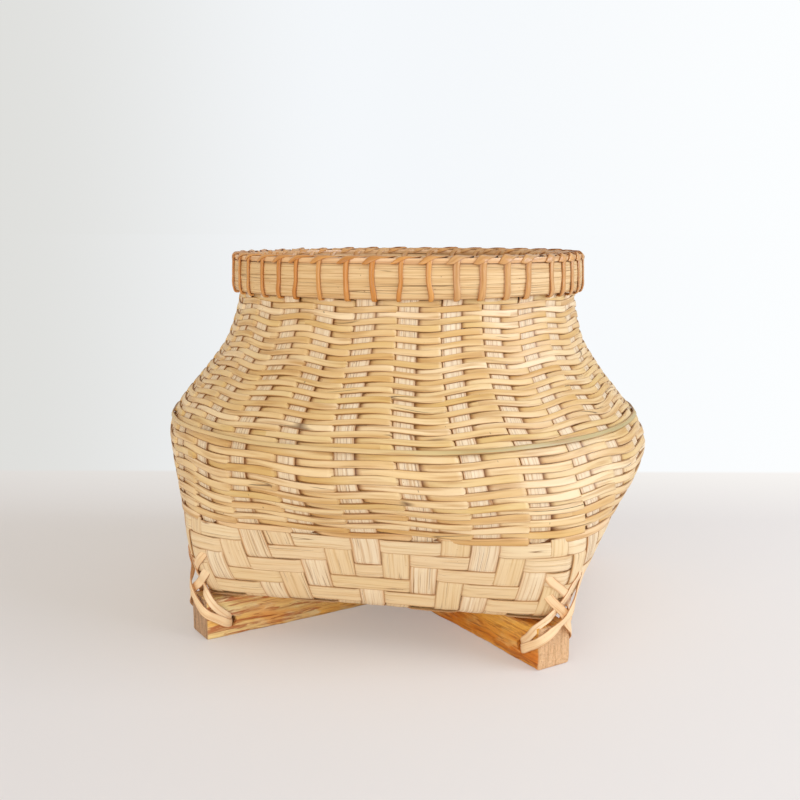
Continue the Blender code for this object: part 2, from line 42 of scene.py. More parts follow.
# the woven wall's mid surface in mm, which the frame's solids follow too
wall = {
    "baseLevel": 16.155,
    "baseHalf": 63.1,
    "twillTop": 44.855,
    "twillTopHalf": 76.3,
    "bellyLevel": 66.655,
    "bellyRadius": 88.7,
    "binderLevel": 74.655,
    "neckLevel": 104.655,
    "neckRadius": 65.6,
    "hoopBottom": 120.155,
    "mouthRadius": 62.4,
    "squareness": 12.0,
    "roundingRate": 1.9,
    "pitch": 8.2,           # from one upright to the next
    "columns": 15,
    "bandPitch": 5.3,
    "firstBand": 21.005,    # middle of the lowest band
    "stakes": 28,
    "stakeWidth": 6.6,
    "levelStep": 0.2,       # steps in mm and radians that its slopes are measured over
    "angleStep": 0.004,
}
halfColumns = wall["columns"] // 2

# the hand-made lean: level in mm, shift to the camera's right in mm
lean = {
    "levels": [0.0, 14.5, 18.0, 30.0, 42.0, 54.0, 66.0, 80.0, 88.0, 95.0, 121.0, 134.0],
    "shifts": [-1.0, -1.0, 0.6, 0.8, 1.0, 0.5, -1.6, -3.8, -3.7, -3.2, -1.6, -1.6],
    # how much fuller it is there, all round and at the front left corner
    "swell": [0.0, 0.0, 0.5, 0.9, 1.3, 1.2, 0.7, -0.3, -0.4, 0.1, 0.0, 0.0],
    "cornerSwell": [0.0, 0.0, 1.1, 1.1, 0.2, 0.0, 0.0, 0.0, 0.0, 0.0, 0.0, 0.0],
    "cornerAngle": math.radians(225.0),
    "cornerNarrowness": 12,
    "fullBeyond": 50.0,     # nearer the middle than this it swells less
    "turn": math.radians(12.0),
}


def curveThrough(x, knots):
    # a smooth curve through the knots that never overshoots them
    xs = np.array([k[0] for k in knots])
    ys = np.array([k[1] for k in knots])
    runs = np.diff(xs)
    slopes = np.diff(ys) / runs
    tangents = np.zeros(len(xs))
    tangents[0] = slopes[0]
    for i in range(1, len(xs) - 1):
        if slopes[i - 1] * slopes[i] > 0:
            tangents[i] = 2 * slopes[i - 1] * slopes[i] / (slopes[i - 1] + slopes[i])
    x = np.clip(np.asarray(x, float), xs[0], xs[-1])
    i = np.clip(np.searchsorted(xs, x, side="right") - 1, 0, len(runs) - 1)
    t = (x - xs[i]) / runs[i]
    rise = ys[i + 1] - ys[i]
    bendIn = tangents[i] * runs[i]
    bendOut = tangents[i + 1] * runs[i]
    return (ys[i] + bendIn * t + (3 * rise - 2 * bendIn - bendOut) * t ** 2
            + (bendIn + bendOut - 2 * rise) * t ** 3)


outline = [
    (wall["baseLevel"], wall["baseHalf"]),
    (wall["twillTop"], wall["twillTopHalf"]),
    (wall["bellyLevel"], wall["bellyRadius"]),
    (wall["neckLevel"], wall["neckRadius"]),
    (wall["hoopBottom"], wall["mouthRadius"]),
]


def halfWidth(level):
    return curveThrough(level, outline)


def wallPoint(angle, level):
    angle, level = np.broadcast_arrays(np.asarray(angle, float), np.asarray(level, float))
    done = np.clip((level - wall["baseLevel"]) / (wall["bellyLevel"] - wall["baseLevel"]), 0, 1)
    power = 2 + (wall["squareness"] - 2) * (1 - done) ** wall["roundingRate"]
    across, along = np.abs(np.cos(angle)), np.abs(np.sin(angle))
    radius = halfWidth(level) * (across ** power + along ** power) ** (-1 / power)
    return np.stack([radius * np.cos(angle), radius * np.sin(angle), level], axis=-1)


def unit(vectors):
    return vectors / np.maximum(np.linalg.norm(vectors, axis=-1, keepdims=True), 1e-9)


def wallFrame(angle, level):
    # point, outward normal and the way up along the wall
    angle, level = np.asarray(angle), np.asarray(level)
    step, turn = wall["levelStep"], wall["angleStep"]
    up = unit(wallPoint(angle, level + step) - wallPoint(angle, level - step))
    around = unit(wallPoint(angle + turn, level) - wallPoint(angle - turn, level))
    return wallPoint(angle, level), unit(np.cross(around, up)), up


def settle(points):
    # moves points in mm with the basket's lean and its fuller belly
    level = points[..., 2]
    shift, swell, cornerSwell = [np.interp(level, lean["levels"], lean[key])
                                 for key in ("shifts", "swell", "cornerSwell")]
    reach = np.maximum(np.hypot(points[..., 0], points[..., 1]), 1.0)
    ahead = points[..., 0] * math.cos(lean["cornerAngle"]) + points[..., 1] * math.sin(lean["cornerAngle"])
    swell = swell + cornerSwell * np.clip(ahead / reach, 0, 1) ** lean["cornerNarrowness"]
    moved = points.copy()
    moved[..., :2] *= (1 + swell / reach * np.clip(reach / lean["fullBeyond"], 0, 1) ** 2)[..., None]
    moved[..., 0] += shift * math.cos(lean["turn"])
    moved[..., 1] += shift * math.sin(lean["turn"])
    return moved


def smoothStep(t):
    t = np.clip(t, 0, 1)
    return t * t * (3 - 2 * t)


def wander(count, spacing, size):
    # slow drift along a strip: a random value about `size` high each `spacing` steps, eased between them
    knots = max(int(count / spacing) + 3, 4)
    values = dice.normal(0, size, knots)
    x = np.linspace(0, knots - 1.001, count)
    i = x.astype(int)
    t = smoothStep(x - i)
    return values[i] * (1 - t) + values[np.minimum(i + 1, knots - 1)] * t


def deselectAll():
    bpy.ops.object.select_all(action="DESELECT")


def pick(*pieces):
    # selects these alone, the first of them active
    deselectAll()
    for piece in pieces:
        piece.select_set(True)
    bpy.context.view_layer.objects.active = pieces[0]


def useModifier(piece, name, kind, **values):
    modifier = piece.modifiers.new(name, kind)
    for key, value in values.items():
        setattr(modifier, key, value)
    pick(piece)
    bpy.ops.object.modifier_apply(modifier=modifier.name)


def smoothBelow(piece, degrees):
    pick(piece)
    bpy.ops.object.shade_smooth_by_angle(angle=math.radians(degrees))


def layGrid(name, points, lengths, widths, tone, edge=None):
    # a grid primitive whose vertices are laid on the points, with its UV map in metres
    steps, across = points.shape[:2]
    deselectAll()
    bpy.ops.mesh.primitive_grid_add(x_subdivisions=across - 1, y_subdivisions=steps - 1)
    piece = bpy.context.object
    piece.name = name
    mesh = piece.data
    mesh.name = name
    mesh.vertices.foreach_set("co", (settle(points) * mm).astype(np.float32).ravel())
    uv = np.zeros((steps, across, 2))
    uv[..., 0] = lengths * mm
    uv[..., 1] = widths * mm
    corners = np.zeros(len(mesh.loops), int)
    mesh.loops.foreach_get("vertex_index", corners)
    mesh.uv_layers.active.data.foreach_set("uv", uv.reshape(-1, 2)[corners].astype(np.float32).ravel())
    # edge holds each point's share of painted shade; by default it grows towards the strip's two edges,
    # where strips meet
    if edge is None:
        edge = np.abs(np.linspace(-1, 1, across))[None]
    for key, values in (("strandTone", np.reshape(tone, (-1, 1))), ("edgeShadeShare", edge)):
        spread = np.broadcast_to(values, (steps, across)).astype(np.float32)
        mesh.attributes.new(key, "FLOAT", "POINT").data.foreach_set("value", spread.ravel())
    mesh.update()
    return piece


def runLength(points):
    middle = points[:, points.shape[1] // 2]
    return np.concatenate([[0], np.cumsum(np.linalg.norm(np.diff(middle, axis=0), axis=1))])


def patternStart():
    # each strip starts somewhere else in its pattern, in mm
    return dice.uniform(0, 4000)


def flatStrip(name, points, thickness, tone, soften=0.0, isEven=True):
    # a strip with square edges: its middle surface is given its thickness both ways
    lengths = runLength(points)[:, None] + patternStart()
    widths = np.zeros(points.shape[:2])
    widths[:, 1:] = np.cumsum(np.linalg.norm(np.diff(points, axis=1), axis=2), axis=1)
    piece = layGrid(name, points, lengths, widths + patternStart(), tone)
    useModifier(piece, "thickness", "SOLIDIFY", thickness=thickness * mm, offset=0.0, use_even_offset=isEven)
    if soften:
        useModifier(piece, "softEdges", "BEVEL", width=soften * mm, segments=2, limit_method="ANGLE",
                    angle_limit=math.radians(50))
    smoothBelow(piece, 40)
    return piece


# painted shade along a rounded strand's edges, deeper over its lower half as if lit from above: the lower
# powers reach further in; the shade where it passes behind a stake is painted only from this far round
# towards its outer face
paintedEdgeShade = {"depth": 0.85, "lowerPower": 1.9, "upperPower": 3, "frontFrom": -0.3}


def roundStrand(name, centre, outward, upward, halfHeight, halfThick, tone, sides, boxy, recess=0.0):
    # a closed strand of oval section, swept along its centre line; recess marks where it gets painted shade,
    # as it passes in behind a stake
    turn = np.linspace(0, 2 * np.pi, sides + 1)
    over = np.sign(np.cos(turn)) * np.abs(np.cos(turn)) ** boxy
    out = np.sign(np.sin(turn)) * np.abs(np.sin(turn)) ** boxy
    points = (centre[:, None] + upward[:, None] * (halfHeight[:, None] * over)[..., None]
              + outward[:, None] * (halfThick[:, None] * out)[..., None])
    lengths = runLength(points)[:, None] + patternStart()
    girth = turn[None] * (halfHeight.mean() + halfThick.mean()) / 2 + patternStart()
    # painted shade: the edges darker, the lower one more, and the outer face where the strand passes behind
    # a stake
    lower = paintedEdgeShade["depth"] * np.abs(over) ** paintedEdgeShade["lowerPower"]
    upper = paintedEdgeShade["depth"] * np.abs(over) ** paintedEdgeShade["upperPower"]
    deep = np.broadcast_to(recess, len(centre))[:, None] * (out > paintedEdgeShade["frontFrom"])[None]
    edge = np.maximum(np.where(over < 0, lower, upper)[None], deep)
    piece = layGrid(name, points, lengths, girth, tone, edge)
    bpy.ops.object.mode_set(mode="EDIT")
    bpy.ops.mesh.select_all(action="SELECT")
    bpy.ops.mesh.remove_doubles(threshold=0.000001)
    bpy.ops.mesh.fill_holes(sides=0)
    bpy.ops.mesh.normals_make_consistent(inside=False)
    bpy.ops.object.mode_set(mode="OBJECT")
    smoothBelow(piece, 60)
    return piece


def joinPieces(name, pieces):
    pick(*pieces)
    bpy.ops.object.join()
    joined = bpy.context.object
    joined.name = name
    joined.data.name = name
    return joined


def finishPiece(piece, slot, material, *nodes):
    piece.data.materials.clear()
    piece.data.materials.append(material)
    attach(piece, "root")
    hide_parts(*nodes)


# materials, whose colours are screen values from 0 to 255
def linear(tone):
    tone /= 255
    return tone / 12.92 if tone <= 0.04045 else ((tone + 0.055) / 1.055) ** 2.4


def colour(screen):
    return (*[linear(tone) for tone in screen], 1.0)


def newMaterial(name, roughness):
    material = bpy.data.materials.new(name)
    material.use_nodes = True
    shader = material.node_tree.nodes["Principled BSDF"]
    shader.inputs["Roughness"].default_value = roughness
    return material, material.node_tree, shader


def addNode(tree, kind, inputs=None, **values):
    node = tree.nodes.new(kind)
    for key, value in values.items():
        setattr(node, key, value)
    for key, value in (inputs or {}).items():
        if isinstance(value, bpy.types.NodeSocket):
            tree.links.new(value, node.inputs[key])
        else:
            node.inputs[key].default_value = value
    return node


def calculate(tree, operation, *values):
    return addNode(tree, "ShaderNodeMath", dict(enumerate(values)), operation=operation).outputs[0]


def mixColour(tree, share, first, second):
    return addNode(tree, "ShaderNodeMix", {0: share, 6: first, 7: second}, data_type="RGBA").outputs[2]


def ramp(tree, value, low, high):
    # 0 below low, 1 above high
    node = addNode(tree, "ShaderNodeMapRange", {"Value": value, "From Min": low, "From Max": high})
    return node.outputs["Result"]


def colourRamp(tree, value, stops):
    # stops are pairs of a place and a colour, the first at 0 and the last at 1
    node = addNode(tree, "ShaderNodeValToRGB", {"Fac": value})
    elements = node.color_ramp.elements
    elements[0].color = colour(stops[0][1])
    elements[1].color = colour(stops[-1][1])
    for place, tint in stops[1:-1]:
        elements.new(place).color = colour(tint)
    return node


def stretchedNoise(tree, coords, scale, detail, distortion=0.0, start=0.0):
    place = addNode(tree, "ShaderNodeMapping", {"Vector": coords, "Scale": scale,
                                                "Location": (start, start, 0.0)})
    return addNode(tree, "ShaderNodeTexNoise", {"Vector": place.outputs[0], "Scale": 1.0, "Detail": detail,
                                                "Distortion": distortion}).outputs["Fac"]


def glazed(tree, base, look, layers):
    # lays tints over the base, each by a value, from where it starts to where it is full, and its depth
    for value, low, high, depth, tint in layers:
        share = calculate(tree, "MULTIPLY", ramp(tree, value, low, high), depth)
        base = mixColour(tree, share, base, colour(look[tint]))
    return base


def addRelief(tree, shader, height, strength, distance):
    bump = addNode(tree, "ShaderNodeBump", {"Height": height, "Strength": strength, "Distance": distance})
    tree.links.new(bump.outputs[0], shader.inputs["Normal"])


def bambooMaterial(name, look):
    # split bamboo: fibres along the strip, thin long splits and small specks, with painted shade along the
    # edges
    material, tree, shader = newMaterial(name, look["roughness"])
    coords = addNode(tree, "ShaderNodeTexCoord").outputs["UV"]

    def stretched(along, across, detail, start=0.0):
        # its scale along the strip and across it
        return stretchedNoise(tree, coords, (along, across, 1.0), detail, start=start)

    tone, edge = [addNode(tree, "ShaderNodeAttribute", attribute_name=key).outputs["Fac"]
                  for key in ("strandTone", "edgeShadeShare")]
    fibres = stretched(45, look["fibres"], 2.0)
    streaks = stretched(16, look["fibres"] * 0.35, 2.0, 3.7)
    patches = stretched(30, 90, 2.0, 9.1)
    specks = stretched(800, 1000, 1.0, 2.2)

    # a split runs where slow noise crosses its middle value, here and there along the strip
    course = stretched(9, look["fibres"] * 0.3, 0.0, 5.3)
    off = calculate(tree, "ABSOLUTE", calculate(tree, "SUBTRACT", course, 0.5))
    where = ramp(tree, stretched(38, 420, 1.0, 7.9), look["splits"], look["splits"] + 0.05)
    split = calculate(tree, "MULTIPLY", ramp(tree, off, look["splitWidth"], 0.0), where)

    last = len(look["hues"]) - 1
    base = colourRamp(tree, tone, [(k / last, hue) for k, hue in enumerate(look["hues"])]).outputs["Color"]
    base = glazed(tree, base, look, [
        (patches, 0.42, 0.7, 0.7, "patch"),
        (streaks, 0.45, 0.72, look["streakDepth"], "streak"),
        (fibres, 0.5, 0.66, look["fibreDepth"], "fibre"),
        (split, 0.0, 1.0, 0.8, "dark"),
        (specks, look["speck"], look["speck"] + 0.02, 0.55, "dark"),
        # painted shade: browner towards the edges and a dark line at them, where strands meet, turn away and
        # pass behind stakes
        (edge, look["edgeShadeStart"], 1.0, look["edgeShadeDepth"], "edge"),
        (edge, look["shadeLineStart"], 1.0, look["shadeLineDepth"], "dark"),
    ])
    tree.links.new(base, shader.inputs["Base Color"])
    rough = addNode(tree, "ShaderNodeMapRange", {"Value": fibres, "To Min": look["roughness"] - 0.08,
                                                 "To Max": look["roughness"] + 0.12})
    tree.links.new(rough.outputs[0], shader.inputs["Roughness"])
    addRelief(tree, shader, calculate(tree, "MULTIPLY_ADD", split, -2.0, fibres), look["relief"], 0.0002)
    return material


# in each look the edge colour and the dark line at the very edges are painted shade; the dark colour also
# marks the real splits and specks
splintLook = {
    "hues": [(238, 206, 156), (244, 216, 172), (241, 211, 160), (250, 230, 194)],
    "patch": (246, 219, 176), "streak": (234, 198, 142), "streakDepth": 0.5,
    "fibre": (212, 168, 108), "fibreDepth": 0.5, "dark": (152, 96, 44),
    "edge": (206, 150, 86), "edgeShadeStart": 0.82, "edgeShadeDepth": 0.5, "fibres": 1500,
    "shadeLineStart": 0.9, "shadeLineDepth": 0.55,
    "splits": 0.52, "splitWidth": 0.012, "speck": 0.77, "roughness": 0.5, "relief": 0.7,
}
# the stakes' browner edges are painted shade, warm where the strands pass in behind them
stakeLook = dict(splintLook, hues=[(240, 212, 168), (246, 222, 182), (250, 230, 196)],
                 patch=(248, 224, 186), streak=(232, 198, 146), fibre=(200, 152, 94), dark=(168, 108, 50),
                 fibreDepth=0.6, fibres=1700, splits=0.48, splitWidth=0.022,
                 edge=(208, 144, 70), edgeShadeDepth=0.55, edgeShadeStart=0.74)
weaverLook = {
    "hues": [(228, 184, 112), (246, 214, 158), (232, 194, 122), (252, 224, 178), (228, 192, 118),
             (243, 203, 150)],
    "patch": (248, 220, 174), "streak": (214, 164, 88), "streakDepth": 0.8,
    "fibre": (188, 132, 62), "fibreDepth": 0.55, "dark": (88, 44, 6),
    "edge": (176, 104, 26), "edgeShadeStart": 0.38, "edgeShadeDepth": 0.9, "fibres": 1800,
    "shadeLineStart": 0.56, "shadeLineDepth": 0.8,
    "splits": 0.58, "splitWidth": 0.01, "speck": 0.78, "roughness": 0.36, "relief": 0.8,
}
binderLook = dict(weaverLook, hues=[(232, 198, 140), (216, 190, 132), (188, 170, 116)],
                  patch=(208, 186, 132), streak=(196, 168, 110), streakDepth=0.3)
hoopLook = {
    "hues": [(226, 186, 126), (234, 196, 140), (240, 206, 152)],
    "patch": (240, 204, 150), "streak": (212, 164, 96), "streakDepth": 0.7,
    "fibre": (184, 130, 66), "fibreDepth": 0.65, "dark": (122, 74, 30),
    "edge": (180, 120, 66), "edgeShadeStart": 0.86, "edgeShadeDepth": 0.6, "fibres": 2100,
    "shadeLineStart": 0.95, "shadeLineDepth": 0.4,
    "splits": 0.49, "splitWidth": 0.018, "speck": 0.75, "roughness": 0.5, "relief": 0.7,
}
lashingLook = {
    "hues": [(212, 138, 58), (222, 156, 78), (210, 158, 98), (220, 174, 118)],
    "patch": (232, 176, 106), "streak": (196, 126, 56), "streakDepth": 0.5,
    "fibre": (176, 108, 44), "fibreDepth": 0.45, "dark": (112, 54, 16),
    "edge": (166, 92, 34), "edgeShadeStart": 0.45, "edgeShadeDepth": 0.8, "fibres": 1500,
    "shadeLineStart": 0.7, "shadeLineDepth": 0.6,
    "splits": 0.62, "splitWidth": 0.01, "speck": 0.8, "roughness": 0.22, "relief": 0.35,
}
tieLook = dict(lashingLook, hues=[(250, 206, 148), (255, 220, 170), (255, 228, 186)],
               patch=(255, 222, 176), streak=(238, 184, 122), fibre=(220, 162, 100), dark=(140, 76, 32),
               edge=(214, 142, 78), edgeShadeDepth=0.6, edgeShadeStart=0.76, shadeLineStart=0.88, shadeLineDepth=0.45,
               roughness=0.36)
edgingLook = dict(lashingLook, hues=[(224, 170, 110), (238, 192, 136), (242, 200, 152)],
                  patch=(238, 192, 140), streak=(208, 150, 86), fibre=(182, 118, 62))

splintBamboo = bambooMaterial("splintBamboo", splintLook)
stakeBamboo = bambooMaterial("stakeBamboo", stakeLook)
weaverBamboo = bambooMaterial("weaverBamboo", weaverLook)
binderBamboo = bambooMaterial("binderBamboo", binderLook)
hoopBamboo = bambooMaterial("hoopBamboo", hoopLook)
lashingRattan = bambooMaterial("lashingRattan", lashingLook)
tieRattan = bambooMaterial("tieRattan", tieLook)
edgingRattan = bambooMaterial("edgingRattan", edgingLook)
print("materials made")

# splints: woven flat in the base, folded up, and every second one a stake up to the rim
splint = {
    "gap": 0.14,
    "thickness": 0.36,
    "weave": 0.34,       # how far it stands out or in where it passes a band
    "turnShare": 0.17,   # half the length of a change of side, in rows
    "stepsPerRow": 6,
    "foldSteps": 9,
    "foldHandle": 0.8,
    "across": 4,
    "crown": 0.12,
    "top": 45.6,
    "wallRows": 4.51,    # from the lowest band's middle to just past the highest one's
    "rows": 13,          # those of half the base and of the wall
    "lastPlace": 12.4,
    "stakeSteps": 46,
    "stakeTop": 131.5,
    "stakeOut": 0.12,    # how far a stake stands out in the wicker, and besides under the rim
    "rimOut": 0.8,
    "rimFrom": 117.0,
    "ease": 3.0,
    "drift": (14, 0.12),     # steps from one random value to the next, and their size in mm
    "twist": (18, 0.06),
    "stakeTones": (0.5, 1.0),
    "shortTones": (0.0, 0.8),
}


def passesOutside(row, column, runsAlongY):
    # rows count on from the middle of the base, so the wall's lowest band is row 8
    return ((row + abs(column) + 1) % 4 < 2) == runsAlongY


def weaveShare(place, signs):
    # -1 to 1 at a place counted in rows; signs holds one sign for each whole row
    i = np.floor(place).astype(int)
    here = signs[np.clip(i, 0, len(signs) - 1)]
    beyond = signs[np.clip(i + 1, 0, len(signs) - 1)]
    t = smoothStep((place - i - 0.5 + splint["turnShare"]) / (2 * splint["turnShare"]))
    return here + (beyond - here) * t


def columnAngle(column, share, level, width):
    # angle across an upright, from the middle of its side; share runs from -1 to 1
    low = np.arctan((column * wall["pitch"] + share * width / 2) / wall["baseHalf"])
    spread = smoothStep((level - wall["twillTop"]) / (wall["bellyLevel"] - wall["twillTop"]))
    middle = column / 2 * 2 * np.pi / wall["stakes"]
    high = middle + share * np.arcsin(wall["stakeWidth"] / 2 / halfWidth(level))
    return low + (high - low) * spread


def splintHalf(column, isStake):
    # grid of the mid surface on the -Y side, from the base's middle up, and its place in rows
    width = wall["pitch"] - splint["gap"]
    share = np.linspace(-1, 1, splint["across"] + 1)
    x = column * wall["pitch"] + share * width / 2
    places = []
    points = []

    def onBase(row):
        y, z = np.full_like(x, -row * wall["pitch"]), np.full_like(x, wall["baseLevel"])
        return np.stack([x, y, z], axis=-1)

    def onSide(level, drop=0.0):
        return wallPoint(columnAngle(column, share, level, width) - np.pi / 2, level - drop)

    def add(place, across):
        places.append(place)
        points.append(across)

    for row in np.arange(0, halfColumns, 1 / splint["stepsPerRow"]):
        add(row, onBase(row))
    start = onBase(halfColumns)
    end = onSide(wall["firstBand"])
    below = onSide(wall["firstBand"], 1.0)
    corner = end + (below - end) * (wall["firstBand"] - wall["baseLevel"])
    for t in np.arange(0, 1, 1 / splint["foldSteps"]):
        a = start + (corner - start) * splint["foldHandle"]
        b = end + (corner - end) * splint["foldHandle"]
        add(halfColumns + t,
            (1 - t) ** 3 * start + 3 * (1 - t) ** 2 * t * a + 3 * (1 - t) * t ** 2 * b + t ** 3 * end)
    for row in np.arange(0, splint["wallRows"], 1 / splint["stepsPerRow"]):
        add(halfColumns + 1 + row, onSide(wall["firstBand"] + row * wall["bandPitch"]))
    above = [splint["top"]]
    if isStake:
        above = np.linspace(wall["twillTop"], splint["stakeTop"], splint["stakeSteps"])[1:]
    for level in above:
        add(splint["lastPlace"], onSide(level))
    return np.array(points), np.minimum(places, splint["lastPlace"])


def makeSplint(name, column, runsAlongY, isStake):
    half, places = splintHalf(column, isStake)
    signs = np.array([1 if passesOutside(row, column, runsAlongY) else -1 for row in range(splint["rows"])])
    aboveTwill = smoothStep((half[:, 2, 2] - wall["twillTop"]) / splint["ease"])
    atRim = smoothStep((half[:, 2, 2] - splint["rimFrom"]) / splint["ease"])
    lift = (splint["weave"] * weaveShare(places, signs) * (1 - aboveTwill) + aboveTwill * splint["stakeOut"]
            + atRim * splint["rimOut"])
    points = np.concatenate([half[::-1][:-1] * np.array([1, -1, 1]), half])
    lift = np.concatenate([lift[::-1][:-1], lift])
    normals = unit(np.cross(np.gradient(points, axis=1), np.gradient(points, axis=0)))
    share = np.linspace(-1, 1, points.shape[1])
    drift = wander(len(points), *splint["drift"])
    twist = wander(len(points), *splint["twist"])
    offset = lift[:, None] + (splint["crown"] * (1 - share ** 2))[None] + twist[:, None] * share[None]
    points = points + normals * offset[..., None]
    side = unit(np.gradient(points, axis=1))
    points = points + side * drift[:, None, None] * (1 - 0.5 * np.abs(share))[None, :, None]
    if not runsAlongY:
        points = np.stack([-points[..., 1], points[..., 0], points[..., 2]], axis=-1)
    tone = dice.uniform(*splint["stakeTones" if isStake else "shortTones"])
    return flatStrip(name, points, splint["thickness"], tone)


for direction in ("y", "x"):
    for index in range(wall["columns"]):
        isStake = index % 2 == 1
        node = f"{'stake' if isStake else 'short'}_splint_{direction}_{index + 1:02d}"
        strip = makeSplint(f"{node}_strip", index - halfColumns, direction == "y", isStake)
        finishPiece(strip, "splint_bamboo", stakeBamboo if isStake else splintBamboo, node)
print("splints laid")

# the wide bands of the twill wall
band = {
    "count": 5,
    "gap": 0.18,
    "thickness": 0.34,
    "weave": 0.34,
    "turnShare": 0.13,
    "stepsPerColumn": 6,
    "across": 4,
    "crown": 0.1,
    "overlapColumns": 4,
    "overlapOut": 0.12,  # how far its end lies outside its start
    "drift": (20, 0.15),
    "tones": (0.3, 0.9),
}


def makeBand(row):
    columns = wall["columns"]
    signs = np.array([-1 if passesOutside(row + halfColumns + 1, column, side % 2 == 1) else 1
                      for side in range(4) for column in range(-halfColumns, halfColumns + 1)])
    start = int(dice.integers(0, 4 * columns))
    count = 4 * columns + band["overlapColumns"]
    place = start + np.arange(0, count, 1 / band["stepsPerColumn"]) - 0.5
    side = np.floor((place + 0.5) / columns)
    within = (place + 0.5) - side * columns - columns / 2
    reach = np.clip(within, -columns / 2, columns / 2) * wall["pitch"] / wall["baseHalf"]
    corner = math.atan(columns / 2 * wall["pitch"] / wall["baseHalf"])
    angles = side * np.pi / 2 + np.arctan(reach) * (np.pi / 4) / corner
    ring = np.floor(place + 0.5).astype(int) % len(signs)
    near = signs[ring]
    after = signs[(ring + 1) % len(signs)]
    before = signs[(ring - 1) % len(signs)]
    part = place + 0.5 - np.floor(place + 0.5)
    turn = band["turnShare"]
    rise = smoothStep((part - 1 + turn) / (2 * turn))
    fall = smoothStep((part + turn) / (2 * turn))
    lift = near + (after - near) * rise + (before - near) * (1 - fall)
    share = np.linspace(-1, 1, band["across"] + 1)
    drift = wander(len(place), *band["drift"])
    level = wall["firstBand"] + row * wall["bandPitch"]
    levels = level + drift[:, None] + share[None] * (wall["bandPitch"] - band["gap"]) / 2
    points, normals, _ = wallFrame(angles[:, None], levels)
    offset = lift * band["weave"] + np.linspace(0, 1, len(place)) * band["overlapOut"]
    bow = band["crown"] * (1 - share ** 2)
    points = points + normals * (offset[:, None] + bow[None])[..., None]
    tone = dice.uniform(*band["tones"])
    return flatStrip(f"wall_band_{row + 1}_strip", points[:, ::-1], band["thickness"], tone)


for row in range(band["count"]):
    finishPiece(makeBand(row), "splint_bamboo", splintBamboo, f"wall_band_{row + 1}")
print("bands woven")

# weavers: flattened strands, over and under the stakes, each row the other way from the last
weaver = {
    "lowerRows": 14,
    "upperRows": 26,
    "lowerSpan": (44.95, 74.25),
    "upperSpan": (74.95, 120.3),
    "thickness": 0.8,
    "weave": 0.56,       # out over a stake and in behind it
    "fill": 1.06,        # height of a strand as a share of its row
    "boxy": 0.42,
    "sides": 10,
    "dive": 0.055,       # how fast it goes in past a stake, as a share of the way to the next one
    "comeOut": 0.62,     # how early it comes out again
    "comeOutFrom": 0.95,  # where it starts to, in half widths of the stake
    "outBy": 0.85,       # where it is out, on the way to the next stake
    # where and how gradually a strand gets painted shade as it passes in behind a stake
    "recessFrom": 0.12,
    "recessFade": 1.1,
    "outHeight": 1.04,   # its height where it is out and in, and how much it swells beyond each stake
    "outSwell": 0.1,
    "inHeight": 0.96,
    "inSwell": 0.08,
    "heights": (0.96, 1.06),
    "levelDrift": (26, 0.09),
    "heightDrift": (40, 0.03),
    "thicknessDrift": (40, 0.06),
    "tipShare": 0.35,    # thickness of its tips, and how fast it gets thicker from them
    "tipTaper": 1.3,
    "ride": 0.58,        # how far rows ride up past one stake and down past the next
    "calmShare": 0.35,   # and what is left of that beside the twill, binder and rim
    "calmReach": 7.0,
    "rideUneven": 0.25,
    "waveHeight": 0.6,
    "jointLevels": (63.155, wall["binderLevel"], 101.055),
}
# how the rows ride up and down, nearly alike for neighbours: share, waves round, start, shift a row
rowWaves = ((0.30, 3, 0.9, 0.05), (0.22, 5, 2.1, 0.11), (0.16, 9, 0.3, 0.17))


def rowLevels(span, rows):
    levels = np.linspace(span[0], span[1], 400)
    radii = halfWidth(levels)
    length = np.concatenate([[0], np.cumsum(np.hypot(np.diff(levels), np.diff(radii)))])
    pitch = length[-1] / rows
    return np.interp((np.arange(rows) + 0.5) * pitch, length, levels), pitch


def stakeAngles(level):
    return np.array([side * np.pi / 2 + float(columnAngle(column, 0.0, level, 0.0))
                     for side in range(4) for column in range(1 - halfColumns, halfColumns, 2)])


def rowWave(angle, number):
    return weaver["waveHeight"] * sum(high * np.sin(count * angle + start + shift * number)
                                      for high, count, start, shift in rowWaves)


def rowRide(angle, level, stakePlace):
    # rows climb past every second stake and drop past the others
    ends = [weaver["lowerSpan"][0], wall["binderLevel"], weaver["upperSpan"][1]]
    nearest = np.min([np.abs(level - end) for end in ends])
    strength = weaver["calmShare"] + (1 - weaver["calmShare"]) * smoothStep(nearest / weaver["calmReach"])
    uneven = 1 + weaver["rideUneven"] * np.sin(2 * angle + level / 9)
    return weaver["ride"] * strength * uneven * np.sin(np.pi * stakePlace)


